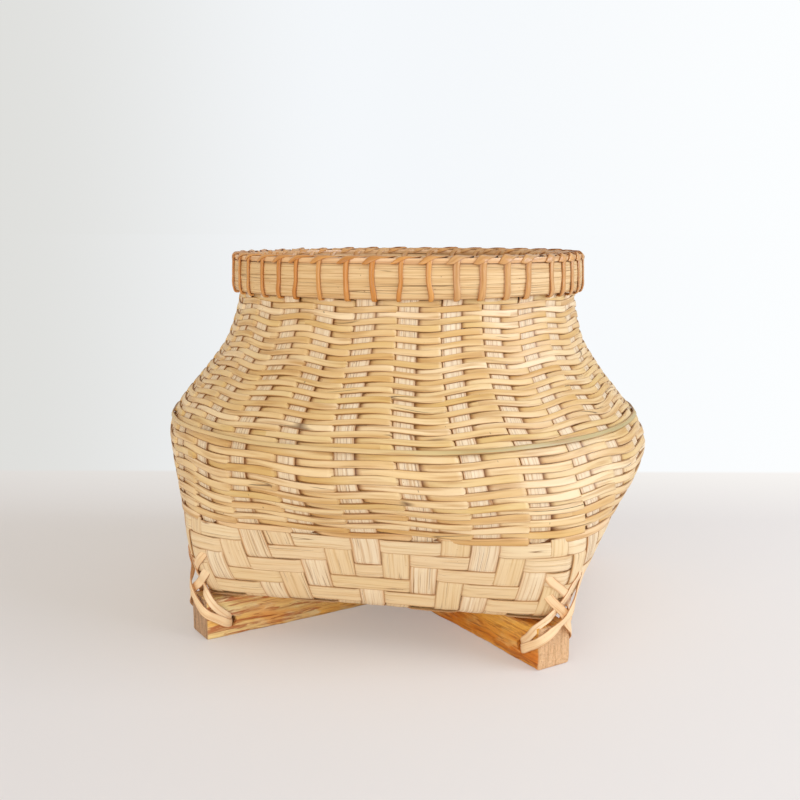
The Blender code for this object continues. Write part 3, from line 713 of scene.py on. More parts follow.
def makeWeaver(name, level, pitch, number):
    # a strand stays out until it reaches a stake's near edge, dives, and comes out slowly beyond it
    stakes = stakeAngles(level)
    count = wall["stakes"]
    edge = math.asin(wall["stakeWidth"] / 2 / float(halfWidth(level))) / (2 * np.pi / count)
    dive = weaver["dive"]
    # its cuts, as shares of the way from one stake to the next
    parts = np.array([0, edge, edge + 0.05, edge + 0.13, 0.38, 0.5, 0.62, 1 - edge - 0.12,
                      1 - edge - dive, 1 - edge - dive / 2, 1 - edge])
    index = int(dice.integers(0, count)) + np.arange(count + 1)
    stake = np.repeat(index, len(parts))
    part = np.tile(parts, len(index))
    turns = np.floor_divide(stake, count) * 2 * np.pi
    after = stakes[(stake + 1) % count] + np.where((stake + 1) % count == 0, 2 * np.pi, 0.0)
    here = stakes[stake % count]
    angle = turns + here + (after - here) * part
    isOut = (stake + number) % 2 == 0
    falling = 1 - 2 * smoothStep((part - (1 - edge - dive)) / dive)
    done = np.clip((part - edge * weaver["comeOutFrom"]) / (weaver["outBy"] - edge), 0, 1)
    rising = -1 + 2 * done ** weaver["comeOut"]
    wave = np.where(isOut, falling, rising)
    ride = rowRide(angle, level, stake + part)
    levels = level + ride + rowWave(angle, number) + wander(len(angle), *weaver["levelDrift"])
    points, normals, up = wallFrame(angle, levels)
    points = points + normals * (splint["stakeOut"] + weaver["weave"] * wave)[:, None]
    swollenOut = weaver["outHeight"] + weaver["outSwell"] * smoothStep((part - 0.2) / 0.3)
    swollenIn = weaver["inHeight"] + weaver["inSwell"] * smoothStep(part / 0.8)
    uneven = (1 + wander(len(angle), *weaver["heightDrift"])) * dice.uniform(*weaver["heights"])
    high = pitch / 2 * weaver["fill"] * np.where(isOut, swollenOut, swollenIn) * uneven
    thick = weaver["thickness"] / 2 * (1 + wander(len(angle), *weaver["thicknessDrift"]))
    tip = np.minimum(np.arange(len(angle)), np.arange(len(angle))[::-1])
    least = weaver["tipShare"]
    thick = thick * np.clip(least + tip / len(parts) * weaver["tipTaper"], least, 1)
    # painted shade where the strand passes in behind a stake
    diveShade = smoothStep((weaver["recessFrom"] - wave) / weaver["recessFade"])
    return roundStrand(name, points, normals, up, high, thick, dice.uniform(0, 1), weaver["sides"],
                       weaver["boxy"], diveShade)


rowsOfNode = {"lower_wicker": [], "belly_wicker": [], "shoulder_wicker": [], "neck_wicker": []}
number = 0
for span, rows in (("lowerSpan", "lowerRows"), ("upperSpan", "upperRows")):
    levels, pitch = rowLevels(weaver[span], weaver[rows])
    for level in levels:
        node = list(rowsOfNode)[sum(level > joint for joint in weaver["jointLevels"])]
        rowsOfNode[node].append(makeWeaver(f"row{number}", level, pitch, number))
        number += 1
for node, rows in rowsOfNode.items():
    finishPiece(joinPieces(f"{node}_weavers", rows), "wicker_bamboo", weaverBamboo, node)
print("weavers woven")

# the strip that binds the shoulder, its skin greener along one side
binder = {
    "height": 1.7,
    "thickness": 0.8,
    "offset": 1.45,
    "swell": 0.12,
    "steps": 336,
    "turns": 1.03,
    "start": 2.2,
    "row": 14,              # the row whose rise and fall it follows
    "greenFrom": -1.36,     # in radians, and how slowly the green comes and goes
    "greenFadeIn": 0.3,
    "greenTo": 1.2,
    "greenFadeOut": 0.4,
    "greenDrift": (10, 0.12),
    "sides": 10,
    "boxy": 0.5,
}


def makeBinder():
    angle = np.linspace(0, 2 * np.pi * binder["turns"], binder["steps"]) + binder["start"]
    levels = wall["binderLevel"] + rowWave(angle, binder["row"])
    points, normals, up = wallFrame(angle, levels)
    offset = binder["offset"] + binder["swell"] * np.cos(angle * wall["stakes"])
    points = points + normals * offset[:, None]
    high = np.full(len(angle), binder["height"] / 2)
    thick = np.full(len(angle), binder["thickness"] / 2)
    wrapped = (angle + np.pi) % (2 * np.pi) - np.pi
    green = smoothStep((wrapped - binder["greenFrom"]) / binder["greenFadeIn"])
    green = green * smoothStep((binder["greenTo"] - wrapped) / binder["greenFadeOut"])
    green = np.clip(green + wander(len(angle), *binder["greenDrift"]), 0, 1)
    return roundStrand("shoulder_binder_strip", points, normals, up, high, thick, green, binder["sides"],
                       binder["boxy"])


finishPiece(makeBinder(), "splint_bamboo", binderBamboo, "shoulder_binder")
print("binder laid")

# rim: two flat hoops with a braided edge between them
rim = {
    "outerRadius": 64.55,
    "innerRadius": 60.25,
    "hoopThickness": 1.5,
    "edgeRound": 0.35,
    "bottom": 120.6,
    "top": 131.9,
    "bulge": 0.35,
    "steps": 240,
    "bottomWave": (0.15, 2, 1),     # height in mm, waves round and where they start
    "topWave": (0.12, 3, 0),
    "bottomDrift": (30, 0.1),
    "topDrift": (30, 0.08),
    "overlap": 0.12,        # in radians
    "overlapStep": 0.25,
    "start": 1.4,
    "coreRadius": 62.4,
    "coreTop": 132.9,
    "coreHalfThick": 1.3,
    "edgingDrop": 0.1,
    "edgingTop": 133.8,
    "edgingHalfThick": 0.85,
    "edgingTurns": 1.01,
    "edgingDrift": (12, 0.06),      # up and down, then in and out
    "edgingSway": (12, 0.08),
    "edgingTones": (0.3, 1.0),
    "edgingSides": 8,
    "edgingBoxy": 0.6,
}


def wavyEdge(angle, which):
    high, count, start = rim[f"{which}Wave"]
    return rim[which] + high * np.sin(count * angle + start) + wander(rim["steps"], *rim[f"{which}Drift"])


def makeHoop(name, radius, outwardSign, tone):
    steps = rim["steps"]
    angle = np.linspace(0, 2 * np.pi + rim["overlap"], steps) + rim["start"]
    share = np.linspace(-1, 1, 7)
    low, high = wavyEdge(angle, "bottom"), wavyEdge(angle, "top")
    level = (low + high)[:, None] / 2 + share[None] * (high - low)[:, None] / 2
    step = np.linspace(-0.5, 0.5, steps) * rim["overlapStep"]
    bulge = outwardSign * rim["bulge"] * (1 - share ** 2)
    reach = radius + bulge[None] + step[:, None]
    points = np.stack([reach * np.cos(angle)[:, None], reach * np.sin(angle)[:, None], level], axis=-1)
    return flatStrip(name, points[:, ::-outwardSign], rim["hoopThickness"], tone, rim["edgeRound"])


finishPiece(makeHoop("outer_rim_hoop_strip", rim["outerRadius"], 1, 0.7), "rim_bamboo", hoopBamboo,
            "outer_rim_hoop")
finishPiece(makeHoop("inner_rim_hoop_strip", rim["innerRadius"], -1, 0.5), "rim_bamboo", hoopBamboo,
            "inner_rim_hoop")


def makeRimCore():
    # a filler between the hoops, and an edging strip along the top of each
    steps = rim["steps"]
    drop = rim["edgingDrop"]
    edging = (rim["top"] - drop, rim["edgingTop"], rim["edgingHalfThick"])
    strands = []
    for name, radius, low, high, halfThick in (
            ("filler", rim["coreRadius"], rim["bottom"], rim["coreTop"], rim["coreHalfThick"]),
            ("outerEdging", rim["outerRadius"] + drop, *edging),
            ("innerEdging", rim["innerRadius"] - drop, *edging)):
        angle = np.linspace(0, 2 * np.pi * rim["edgingTurns"], steps) + dice.uniform(0, 6)
        outward = np.stack([np.cos(angle), np.sin(angle), np.zeros(steps)], axis=-1)
        upward = np.tile([0.0, 0.0, 1.0], (steps, 1))
        middle = (low + high) / 2 + wander(steps, *rim["edgingDrift"])
        reach = radius + wander(steps, *rim["edgingSway"])
        centre = outward * reach[:, None] + upward * middle[:, None]
        strands.append(roundStrand(name, centre, outward, upward, np.full(steps, (high - low) / 2),
                                   np.full(steps, halfThick), dice.uniform(*rim["edgingTones"]),
                                   rim["edgingSides"], rim["edgingBoxy"]))
    return joinPieces("rim_core_filler", strands)


finishPiece(makeRimCore(), "rim_bamboo", edgingRattan, "rim_core")
print("rim built")

# rattan lashing round the hoops: a strap outside, a pointed leaf over the top and a strap inside
lashing = {
    "frontWraps": [-142.8, -135.2, -126.6, -118.7, -111.9, -104.0, -95.4, -87.8, -79.7, -71.9, -64.0,
                   -56.0, -48.0, -40.2, -29.9, -22.9, -16.5, -9.4],   # places in degrees
    "wraps": 39,
    "backSway": 0.5,        # in degrees
    "startSway": 0.4,
    "slimHalfWidth": 0.85,
    "wideHalfWidth": 1.2,
    "wideFrom": -68.0,
    "wideTo": 150.0,
    "strapHalfThick": 0.42,
    "leafHalfThick": 0.28,
    "crossHalfThick": 0.238,
    "outside": 65.55,
    "inside": 59.25,
    "under": 120.0,
    "middle": 126.0,
    "stepsPerStop": 4,
    "widths": (0.88, 1.12),
    "leafWidths": (1.05, 1.3),
    "leafLifts": (-0.05, 0.12),
    "wideTones": (0.55, 1.0),
    "slimTones": (0.0, 0.4),
    "leafTone": 0.12,       # how much paler a leaf is than its strap
    "crossTones": (0.4, 1.0),
    "thinBelow": 0.6,       # where its half width is less, it gets thinner too, down to the least share
    "leastShare": 0.4,
    "sides": 8,
    "boxy": 0.75,
}


def smoothPath(stops, stepsPerStop):
    # a smooth line through the stops, whatever else each stop holds
    stops = np.array(stops, float)
    gaps = np.maximum(np.linalg.norm(np.diff(stops[:, :3], axis=0), axis=1), 0.05)[:, None]
    slopes = np.diff(stops, axis=0) / gaps
    inner = (slopes[:-1] * gaps[1:] + slopes[1:] * gaps[:-1]) / (gaps[:-1] + gaps[1:])
    tangents = np.concatenate([slopes[:1], inner, slopes[-1:]])
    line = []
    for i in range(len(gaps)):
        for t in np.arange(0, 1, 1 / stepsPerStop):
            a = 2 * t ** 3 - 3 * t ** 2 + 1
            b = (t ** 3 - 2 * t ** 2 + t) * gaps[i]
            c = -2 * t ** 3 + 3 * t ** 2
            d = (t ** 3 - t ** 2) * gaps[i]
            line.append(a * stops[i] + b * tangents[i] + c * stops[i + 1] + d * tangents[i + 1])
    line.append(stops[-1])
    return np.array(line)


def readStops(stops, stepsPerStop):
    # stops are rows of place x, y, z, facing x, y, z and half width
    line = smoothPath(stops, stepsPerStop)
    centre = line[:, :3]
    facing = unit(line[:, 3:6])
    along = unit(np.gradient(centre, axis=0))
    facing = unit(facing - along * (facing * along).sum(axis=1, keepdims=True))
    return centre, facing, np.cross(along, facing), np.maximum(line[:, 6], 0.12)


def makeWrap(name, rows, halfThick, tone):
    # rows of angle in degrees, radius, level, facing out, facing up and half width
    stops = []
    for degrees, radius, level, faceOut, faceUp, half in rows:
        c, s = math.cos(math.radians(degrees)), math.sin(math.radians(degrees))
        stops.append([radius * c, radius * s, level, faceOut * c, faceOut * s, faceUp, half])
    centre, facing, aside, half = readStops(stops, lashing["stepsPerStop"])
    thin = halfThick * np.clip(half / lashing["thinBelow"], lashing["leastShare"], 1)
    return roundStrand(name, centre, facing, aside, half, thin, tone, lashing["sides"], lashing["boxy"])


def makeLashing():
    front = lashing["frontWraps"]
    back = np.linspace(front[-1], front[0] + 360, lashing["wraps"] - len(front) + 2)[1:-1]
    places = list(front) + [place + dice.normal(0, lashing["backSway"]) for place in back]
    out, inn, under, middle = lashing["outside"], lashing["inside"], lashing["under"], lashing["middle"]
    top = rim["edgingTop"]
    pieces = []
    for wrap, place in enumerate(places):
        reach = places[wrap + 1] - place if wrap + 1 < len(places) else places[0] + 360 - place
        isWide = lashing["wideFrom"] < place < lashing["wideTo"]
        width = "wide" if isWide else "slim"
        half = lashing[f"{width}HalfWidth"] * dice.uniform(*lashing["widths"])
        tone = dice.uniform(*lashing[f"{width}Tones"])
        start = place + dice.normal(0, lashing["startSway"])
        strap = [
            (start + 0.3, out - 1.6, under + 0.1, 0.2, -1, half * 0.85),
            (start, out - 0.25, under + 0.25, 0.7, -0.8, half * 0.95),
            (start, out + 0.25, under + 1.3, 1, -0.15, half),
            (place, out + 0.4, middle, 1, 0, half * 0.93),
            (place, out + 0.25, top - 3.0, 1, 0.1, half),
            (place + 0.2, out + 0.15, top - 1.2, 1, 0.4, half),
            (place + 0.6, out - 0.8, top + 0.05, 0.5, 1, half * 1.05),
            (place + 2.2, out - 3.2, top - 0.1, 0, 1, half * 0.7),
        ]
        pieces.append(makeWrap(f"strap{wrap}", strap, lashing["strapHalfThick"], tone))
        lift = dice.uniform(*lashing["leafLifts"])
        full = half * dice.uniform(*lashing["leafWidths"])
        leaf = [
            (place - 2.9, out + 0.15, top - 1.9, 1, 0.2, 0.15),
            (place - 1.6, out + 0.3, top - 1.3, 1, 0.35, full * 0.75),
            (place - 0.1, out + 0.15, top - 0.3 + lift, 1, 0.7, full),
            (place + 1.6, out - 0.9, top + 0.2 + lift, 0.6, 1, full),
            (place + 0.5 * reach, out - 3.0, top + 0.2 + lift, 0.1, 1, full * 1.2),
            (place + 0.75 * reach, inn + 1.6, top + 0.05, -0.4, 1, full),
            (place + 0.92 * reach, inn + 0.2, top - 0.9, -1, 0.7, half),
            (place + reach, inn - 0.2, top - 3.2, -1, 0.1, half),
            (place + reach, inn - 0.35, middle, -1, 0, half),
            (place + reach, inn - 0.1, under + 1.2, -1, -0.2, half),
            (place + reach, inn + 0.6, under + 0.15, -0.6, -0.8, half),
            (place + reach, inn + 1.8, under + 0.05, 0, -1, half),
        ]
        pieces.append(makeWrap(f"leaf{wrap}", leaf, lashing["leafHalfThick"],
                               np.clip(tone + lashing["leafTone"], 0, 1)))
        cross = [
            (place + 0.62 * reach, inn - 0.05, top - 1.4, -1, 0.3, 0.2),
            (place + 0.45 * reach, inn + 0.2, top - 0.3, -0.7, 0.8, full * 0.9),
            (place + 0.25 * reach, inn + 1.6, top + 0.12, -0.2, 1, full),
            (place + 0.02 * reach, out - 3.2, top + 0.1, 0.1, 1, full),
            (place - 0.2 * reach, out - 1.4, top - 0.02, 0.4, 1, full * 0.6),
            (place - 0.32 * reach, out - 0.7, top - 0.25, 0.6, 1, 0.15),
        ]
        pieces.append(makeWrap(f"cross{wrap}", cross, lashing["crossHalfThick"],
                               dice.uniform(*lashing["crossTones"])))
    return joinPieces("rim_lashing_wraps", pieces)


finishPiece(makeLashing(), "rattan", lashingRattan, "rim_lashing")
print("lashing wound")

# the foot bars' measures, which the ties are laid by too
foot = {
    "length": 177.3,
    "width": 13.2,
    "height": 14.4,
    "cuts": (73, 7, 7),     # planes along, across and up, with the faces at both ends
    "edgeRound": 0.9,
    "holeInset": 9.5,
    "holeLevel": 5.5,
    "holeDiameter": 4.0,
    "lapGap": 0.4,
    "lapStep": 0.1,
    "roughEdge": 1.2,       # how far from its edges the wood is chipped
    "roughFace": 1.5,
    "dentDepth": 0.32,
    "chipDepth": 0.5,
    "warps": ((0.25, 0.11, 1), (0.15, 0.31, 2)),    # mm high, radians in a mm, start in turns of the bar
    "sideWarp": 0.7,        # how much of that shows on the sides and on top
    "topWarp": 0.3,
    "roughness": 0.5,
}

# corner ties: on each side of a corner two flat strips leave the wall by slots, cross the other two over
# the corner and go down the bar's other side into its hole
tie = {
    "slimHalfWidth": 1.4,
    "wideHalfWidth": 1.55,
    "thickness": 0.42,
    "crown": 0.14,
    "edgeRound": 0.08,
    "tones": (0.1, 1.0),
    "stepsPerStop": 5,
    # for each corner the eighth of a turn it stands at, the side that leads and how far its strip bows out
    "corners": {"back_right": (1, -1, 0.2), "back_left": (3, 1, 0.2), "front_left": (5, -1, 0.7),
                "front_right": (7, 1, 0.0)},
}


def tieStops(diagonal, side, isWide, leads, bow):
    outward = np.array([math.cos(diagonal), math.sin(diagonal), 0.0])
    aside = np.array([-math.sin(diagonal), math.cos(diagonal), 0.0]) * side
    upward = np.array([0.0, 0.0, 1.0])
    half = tie["wideHalfWidth"] if isWide else tie["slimHalfWidth"]
    hole = foot["holeLevel"]
    stops = []

    def atBar(past, lateral, level, faceOut, faceAside, faceUp=0.0, share=1.0):
        # past the bar's end, out from its side face, and up
        place = (outward * (foot["length"] / 2 + past) + aside * (-foot["width"] / 2 - lateral)
                 + upward * level)
        facing = outward * faceOut + aside * faceAside + upward * faceUp
        stops.append([*place, *facing, half * share])

    def onWall(turn, level, offset, share=1.0):
        # degrees round the wall from the corner
        place, normal, _ = wallFrame(diagonal + side * math.radians(turn), level)
        stops.append([*(place + normal * offset), *normal, half * share])

    if isWide:
        atBar(-9.9, -4.0, hole - 0.6, -1, 0.2, 0, 0.7)
        atBar(-9.6, -0.6, hole - 0.8, -0.6, -0.8, 0, 0.85)
        atBar(-8.2, 0.5, hole - 0.4, 0, -1)
        atBar(-4.1, 0.7, 7.4, 0.05, -1)
        if leads:
            atBar(0.1, -0.2, 10.2, 0.7, -0.9)
            atBar(1.4, -4.6, 13.3, 1, -0.3)
            atBar(1.4 + 0.6 * bow, -9.2, 18.8, 1, 0.25, 0.1)
            onWall(5.0, 24.6, 1.4 + 1.2 * bow)
            onWall(5.5, 28.8, 0.8 + 1.2 * bow)
            onWall(5.8, 32.2, 0.3)
            onWall(5.9, 33.6, -1.3, 0.9)
        else:
            atBar(-0.4, 0.5, 10.8, 0.6, -0.9)
            atBar(0.9, -1.8, 14.0, 1, -0.4)
            atBar(0.8, -4.4, 17.2, 1, 0.1)
            onWall(-0.1, 20.6, 1.7)
            onWall(1.9, 23.4, 1.1)
            onWall(3.2, 25.5, 0.3)
            onWall(3.7, 26.6, -1.3, 0.9)
    else:
        atBar(-9.5, -4.0, hole + 0.5, -1, 0.2, 0, 0.7)
        atBar(-9.3, -0.5, hole + 0.7, -0.6, -0.8, 0, 0.9)
        atBar(-7.9, 0.45, hole + 2.2, 0, -1)
        if leads:
            atBar(-5.2, 0.6, 10.0, 0.1, -1)
            atBar(-2.4, 0.4, 13.2, 0.45, -1, 0.1)
            atBar(-1.2, -2.2, 16.8, 0.8, -0.8)
            onWall(-0.6, 20.0, 1.2)
            onWall(0.9, 23.8, 1.1)
            onWall(2.6, 28.2, 0.6)
        else:
            atBar(-5.6, 0.5, 11.0, 0.05, -1)
            atBar(-4.0, 0.1, 15.4, 0.3, -1, 0.1)
            onWall(-3.6, 20.8, 0.7)
            onWall(-1.2, 25.0, 0.7)
            onWall(1.2, 28.2, 0.6)
        onWall(4.0, 32.0, 0.5)
        onWall(4.6, 33.4, -1.3, 0.9)
    return stops


def makeTie(name, diagonal, leadSide, bow):
    # each strip is flat with crisp edges and a slightly crowned skin
    pieces = []
    share = np.linspace(-1, 1, 5)
    crown = tie["crown"] * (1 - share ** 2)
    for side in (-1, 1):
        for isWide in (False, True):
            stops = tieStops(diagonal, side, isWide, side == leadSide, bow)
            centre, facing, aside, half = readStops(stops, tie["stepsPerStop"])
            points = (centre[:, None] + aside[:, None] * (half[:, None] * share)[..., None]
                      + facing[:, None] * crown[None, :, None])
            pieces.append(flatStrip(f"{name}{side}{isWide}", points, tie["thickness"],
                                    dice.uniform(*tie["tones"]), tie["edgeRound"], False))
    return joinPieces(name, pieces)


for corner, (eighths, leadSide, bow) in tie["corners"].items():
    strips = makeTie(f"corner_tie_{corner}_strips", eighths * math.pi / 4, leadSide, bow)
    finishPiece(strips, "rattan", tieRattan, f"corner_tie_{corner}")
print("ties drawn")


# foot: two worn bars, half-lapped where they cross
barLooks = {
    # the lower bar's sawn ends are given darker tones than the upper bar's as painted shade
    "lower": {"pale": (255, 226, 156), "deep": (255, 198, 100), "streak": (184, 84, 24),
              "worn": (255, 242, 196), "stain": (242, 146, 60), "endPale": (206, 164, 122),
              "endDark": (140, 100, 66), "streakDepth": 0.8},
    "upper": {"pale": (250, 188, 82), "deep": (234, 148, 46), "streak": (160, 72, 16),
              "worn": (250, 206, 126), "stain": (222, 120, 34), "endPale": (238, 192, 140),
              "endDark": (194, 140, 88), "streakDepth": 0.6},
}


def woodMaterial(name, turn, look):
    # long grain on the sides, fine pores on the sawn ends
    material, tree, shader = newMaterial(name, foot["roughness"])
    coords = addNode(tree, "ShaderNodeTexCoord").outputs["Object"]
    shift = float(np.interp(foot["height"] / 2, lean["levels"], lean["shifts"])) * mm
    back = (-shift * math.cos(lean["turn"] - turn), -shift * math.sin(lean["turn"] - turn), 0.0)
    turned = addNode(tree, "ShaderNodeMapping", {"Vector": coords, "Rotation": (0.0, 0.0, -turn),
                                                 "Location": back}).outputs[0]

    def grain(along, across, detail=3.0, distortion=0.0):
        # its scale along the bar and across it
        return stretchedNoise(tree, turned, (along, across, across), detail, distortion)

    broad = grain(14, 150, 2.0, 0.6)
    fine = grain(45, 1400)
    streak = grain(58, 640, 5.0, 1.2)
    base = mixColour(tree, ramp(tree, broad, 0.38, 0.62), colour(look["pale"]), colour(look["deep"]))
    base = glazed(tree, base, look, [
        (grain(38, 60), 0.56, 0.68, 0.5, "stain"),
        (grain(90, 220, 4.0, 0.6), 0.52, 0.7, 0.8, "worn"),
        (fine, 0.5, 0.7, 0.35, "streak"),
        (streak, 0.5, 0.62, look["streakDepth"], "streak"),
    ])
    rings = stretchedNoise(tree, turned, (900.0, 900.0, 120.0), 3.0)
    sawn = glazed(tree, colour(look["endPale"]), look, [
        (rings, 0.45, 0.65, 0.6, "endDark"),
        (grain(900, 1500, 2.0), 0.55, 0.7, 0.5, "endDark"),
    ])
    place = addNode(tree, "ShaderNodeSeparateXYZ", {"Vector": turned}).outputs["X"]
    end = foot["length"] / 2 * mm
    onEnd = ramp(tree, calculate(tree, "ABSOLUTE", place), end - 0.7 * mm, end - 0.3 * mm)
    tree.links.new(mixColour(tree, onEnd, base, sawn), shader.inputs["Base Color"])
    addRelief(tree, shader, calculate(tree, "MULTIPLY_ADD", streak, 1.5, fine), 0.9, 0.0006)
    return material


def roughened(points, turn):
    # split and chipped by hand tools: rough along the grain, most at the edges
    halfAcross, height = foot["width"] / 2, foot["height"]
    wobble = sum(high * np.sin(points[:, 0] * rate + start * turn) for high, rate, start in foot["warps"])
    points[:, 1] += wobble * np.sign(points[:, 1]) * foot["sideWarp"]
    points[:, 2] += foot["topWarp"] * wobble * (points[:, 2] > 10)
    for k, (x, y, z) in enumerate(points):
        dent = noise.noise(Vector((x * 0.22, y * 0.8, z * 0.8 + 40 * turn)))
        chip = noise.noise(Vector((x * 0.6 + 9, y * 0.5, z * 0.5 + 40 * turn)))
        isNearEdge = (abs(y) > halfAcross - foot["roughEdge"]
                      and (z > height - foot["roughEdge"] or z < foot["roughEdge"]))
        inward = foot["dentDepth"] * dent + (foot["chipDepth"] * max(chip, 0.0) if isNearEdge else 0.0)
        points[k, 1] -= np.sign(y) * inward * (abs(y) > halfAcross - foot["roughFace"])
        points[k, 2] -= inward * (z > height - foot["roughFace"])
    return points


def makeBar(name, turn, lapBelow):
    size = [foot[key] * mm for key in ("length", "width", "height")]
    length, width, height = size
    middle = Vector((0, 0, height / 2))
    deselectAll()
    bpy.ops.mesh.primitive_cube_add(size=1, location=middle, scale=size)
    bar = bpy.context.object
    bar.name = name
    bpy.ops.object.transform_apply(location=True, rotation=True, scale=True)
    bpy.ops.object.mode_set(mode="EDIT")
    for axis, cuts in enumerate(foot["cuts"]):
        facing = Vector([float(axis == k) for k in range(3)])
        for cut in np.linspace(-0.5, 0.5, cuts)[1:-1]:
            bpy.ops.mesh.select_all(action="SELECT")
            bpy.ops.mesh.bisect(plane_co=facing * cut * size[axis] + middle, plane_no=facing)
    bpy.ops.object.mode_set(mode="OBJECT")
    useModifier(bar, "worn", "BEVEL", width=foot["edgeRound"] * mm, segments=3, limit_method="ANGLE",
                angle_limit=math.radians(50))
    lapLevel = height / 2 - lapBelow * height / 2 + lapBelow * foot["lapStep"] * mm
    bpy.ops.mesh.primitive_cube_add(size=1, location=(0, 0, lapLevel),
                                    scale=(width + foot["lapGap"] * mm, width * 2, height))
    cutters = [bpy.context.object]
    for side in (-1, 1):
        place = (side * (length / 2 - foot["holeInset"] * mm), 0, foot["holeLevel"] * mm)
        bpy.ops.mesh.primitive_cylinder_add(vertices=28, radius=foot["holeDiameter"] / 2 * mm,
                                            depth=width * 2, location=place, rotation=(math.pi / 2, 0, 0))
        cutters.append(bpy.context.object)
    for cutter in cutters:
        useModifier(bar, "cut", "BOOLEAN", operation="DIFFERENCE", object=cutter)
        bpy.data.objects.remove(cutter, do_unlink=True)
    co = np.zeros(len(bar.data.vertices) * 3)
    bar.data.vertices.foreach_get("co", co)
    co = roughened(co.reshape(-1, 3) / mm, turn)
    c, s = math.cos(turn), math.sin(turn)
    turned = np.stack([co[:, 0] * c - co[:, 1] * s, co[:, 0] * s + co[:, 1] * c, co[:, 2]], axis=-1)
    bar.data.vertices.foreach_set("co", (settle(turned) * mm).ravel())
    bar.data.update()
    smoothBelow(bar, 35)
    return bar


for which, turn, lapBelow in (("lower", math.pi / 4, -1), ("upper", -math.pi / 4, 1)):
    wood = woodMaterial(f"footWood{which.title()}", turn, barLooks[which])
    finishPiece(makeBar(f"foot_bar_{which}_wood", turn, lapBelow), "foot_wood", wood, f"foot_bar_{which}")
print("foot made")

# stage, light and camera
stage = {
    "floorColour": (243, 238, 234),
    "floorRoughness": 0.6,
    "floorShine": 0.2,
    # the near floor's tones are painted light: darker to the left and paler to the right, as the light falls
    # from the right
    "nearLeft": (225, 221, 217),
    "nearRight": (249, 246, 243),
    "nearShare": 0.3,       # how much of the near floor's painted light, darker to the left and paler to the right, the camera sees unshaded
    "nearReach": 0.4,       # the tones end that far to the side, as a share of the distance
    # the backdrop's tones, greyer to the left and white to the right, are painted light falling from the
    # right
    "backdropLeft": (223, 223, 220),
    "backdropMiddle": (245, 248, 251),
    "backdropRight": (252, 254, 255),
    "backdropReach": 0.42,
    "backdropFrom": 0.20,
    "backdropSeam": 0.006,
    "backdropSpread": 1.08,
    "fadeFrom": 0.10,
    "reach": 30.0,
    "skyTint": (1.0, 0.96, 0.915, 1.0),
    "skyStrength": 0.63,
}
lamps = {
    "windowRight": {"place": (1.15, -0.1, 0.56), "aim": (0, 0, 0.07), "size": 0.9, "power": 10.6,
                    "tint": (0.68, 0.79, 1.0)},
    "roomFront": {"place": (-0.2, -1.25, 0.17), "aim": (0, 0, 0.05), "size": 1.0, "power": 7.0,
                  "tint": (1.0, 0.98, 0.96)},
}
view = {
    "distance": 0.401,
    "height": 0.14415,
    "turn": math.radians(12.0),
    "pitch": 0.166,
    "yaw": 0.0113,
    "lens": 47.0,
}


def paleWash(tree, across):
    # the backdrop's three tones, by how far to the side of the view's middle line: painted light, darker to
    # the left and brightest to the right
    node = colourRamp(tree, ramp(tree, across, -stage["backdropReach"], stage["backdropReach"]), [
        (0.0, stage["backdropLeft"]), (0.45, stage["backdropMiddle"]), (1.0, stage["backdropRight"])])
    node.color_ramp.interpolation = "EASE"
    return node.outputs["Color"]


def facingView(tree, output):
    # the place or direction, turned so that Y runs away from the camera
    coords = addNode(tree, "ShaderNodeTexCoord").outputs[output]
    turned = addNode(tree, "ShaderNodeMapping", {"Vector": coords, "Rotation": (0.0, 0.0, -view["turn"])})
    return addNode(tree, "ShaderNodeSeparateXYZ", {"Vector": turned.outputs[0]}).outputs


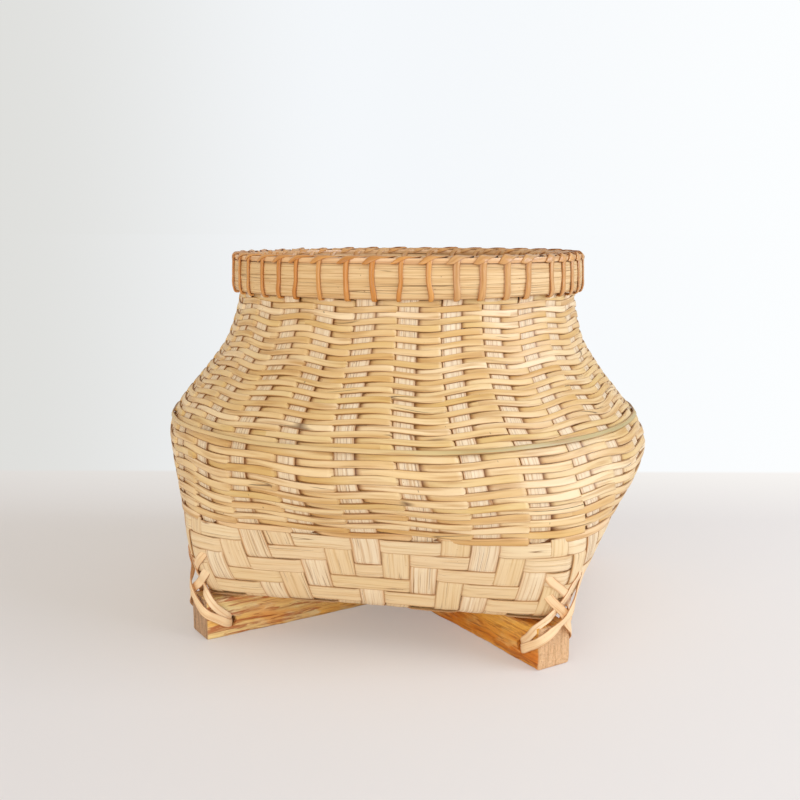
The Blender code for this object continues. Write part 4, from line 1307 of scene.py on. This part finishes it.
def makeFloor():
    deselectAll()
    bpy.ops.mesh.primitive_plane_add(size=stage["reach"])
    floor = bpy.context.object
    floor.name = "floor"
    material, tree, shader = newMaterial("paleFloor", stage["floorRoughness"])
    shader.inputs["Specular IOR Level"].default_value = stage["floorShine"]
    shader.inputs["Base Color"].default_value = colour(stage["floorColour"])
    place = facingView(tree, "Object")
    away = calculate(tree, "MAXIMUM", calculate(tree, "ADD", place["Y"], view["distance"]), 0.1)
    across = calculate(tree, "DIVIDE", place["X"], away)
    # painted light on the near floor, darker to the left and paler to the right
    near = mixColour(tree, ramp(tree, across, -stage["nearReach"], stage["nearReach"]),
                     colour(stage["nearLeft"]), colour(stage["nearRight"]))
    isBackdrop = ramp(tree, place["Y"], stage["backdropFrom"], stage["backdropFrom"] + stage["backdropSeam"])
    glow = addNode(tree, "ShaderNodeEmission", {
        "Color": mixColour(tree, isBackdrop, near, paleWash(tree, across)), "Strength": 1.0})
    seen = addNode(tree, "ShaderNodeLightPath").outputs["Is Camera Ray"]
    fade = ramp(tree, place["Y"], stage["fadeFrom"], stage["backdropFrom"])
    fade = addNode(tree, "ShaderNodeMapRange", {"Value": fade, "To Min": stage["nearShare"]}).outputs[0]
    share = calculate(tree, "MULTIPLY", fade, seen)
    blend = addNode(tree, "ShaderNodeMixShader", {0: share, 1: shader.outputs[0], 2: glow.outputs[0]})
    tree.links.new(blend.outputs[0], tree.nodes["Material Output"].inputs["Surface"])
    floor.data.materials.append(material)


def makeSky():
    # the world lights the basket evenly; the camera sees the backdrop's tones in it
    world = bpy.data.worlds.new("studio")
    bpy.context.scene.world = world
    world.use_nodes = True
    tree = world.node_tree
    light = tree.nodes["Background"]
    light.inputs["Color"].default_value = stage["skyTint"]
    light.inputs["Strength"].default_value = stage["skyStrength"]
    across = calculate(tree, "MULTIPLY", facingView(tree, "Generated")["X"], stage["backdropSpread"])
    seen = addNode(tree, "ShaderNodeLightPath").outputs["Is Camera Ray"]
    plain = addNode(tree, "ShaderNodeBackground", {"Color": paleWash(tree, across), "Strength": 1.0})
    blend = addNode(tree, "ShaderNodeMixShader", {0: seen, 1: light.outputs[0], 2: plain.outputs[0]})
    tree.links.new(blend.outputs[0], tree.nodes["World Output"].inputs["Surface"])


def addLamp(name, look):
    lamp = bpy.data.lights.new(name, "AREA")
    lamp.shape = "SQUARE"
    lamp.size = look["size"]
    lamp.energy = look["power"]
    lamp.color = look["tint"]
    item = bpy.data.objects.new(name, lamp)
    bpy.context.scene.collection.objects.link(item)
    item.location = look["place"]
    item.rotation_euler = (Vector(look["aim"]) - Vector(look["place"])).to_track_quat("-Z", "Y").to_euler()


makeFloor()
makeSky()
for name, look in lamps.items():
    addLamp(name, look)

camera = bpy.data.objects.new("camera", bpy.data.cameras.new("camera"))
bpy.context.scene.collection.objects.link(camera)
camera.data.lens = view["lens"]
camera.data.sensor_width = 36.0
camera.location = (view["distance"] * math.sin(view["turn"]), -view["distance"] * math.cos(view["turn"]),
                   view["height"])
camera.rotation_euler = (math.pi / 2 - view["pitch"], 0.0, view["turn"] + view["yaw"])
bpy.context.scene.camera = camera
bpy.context.scene.view_settings.view_transform = "Standard"
print("stage, light and camera set")
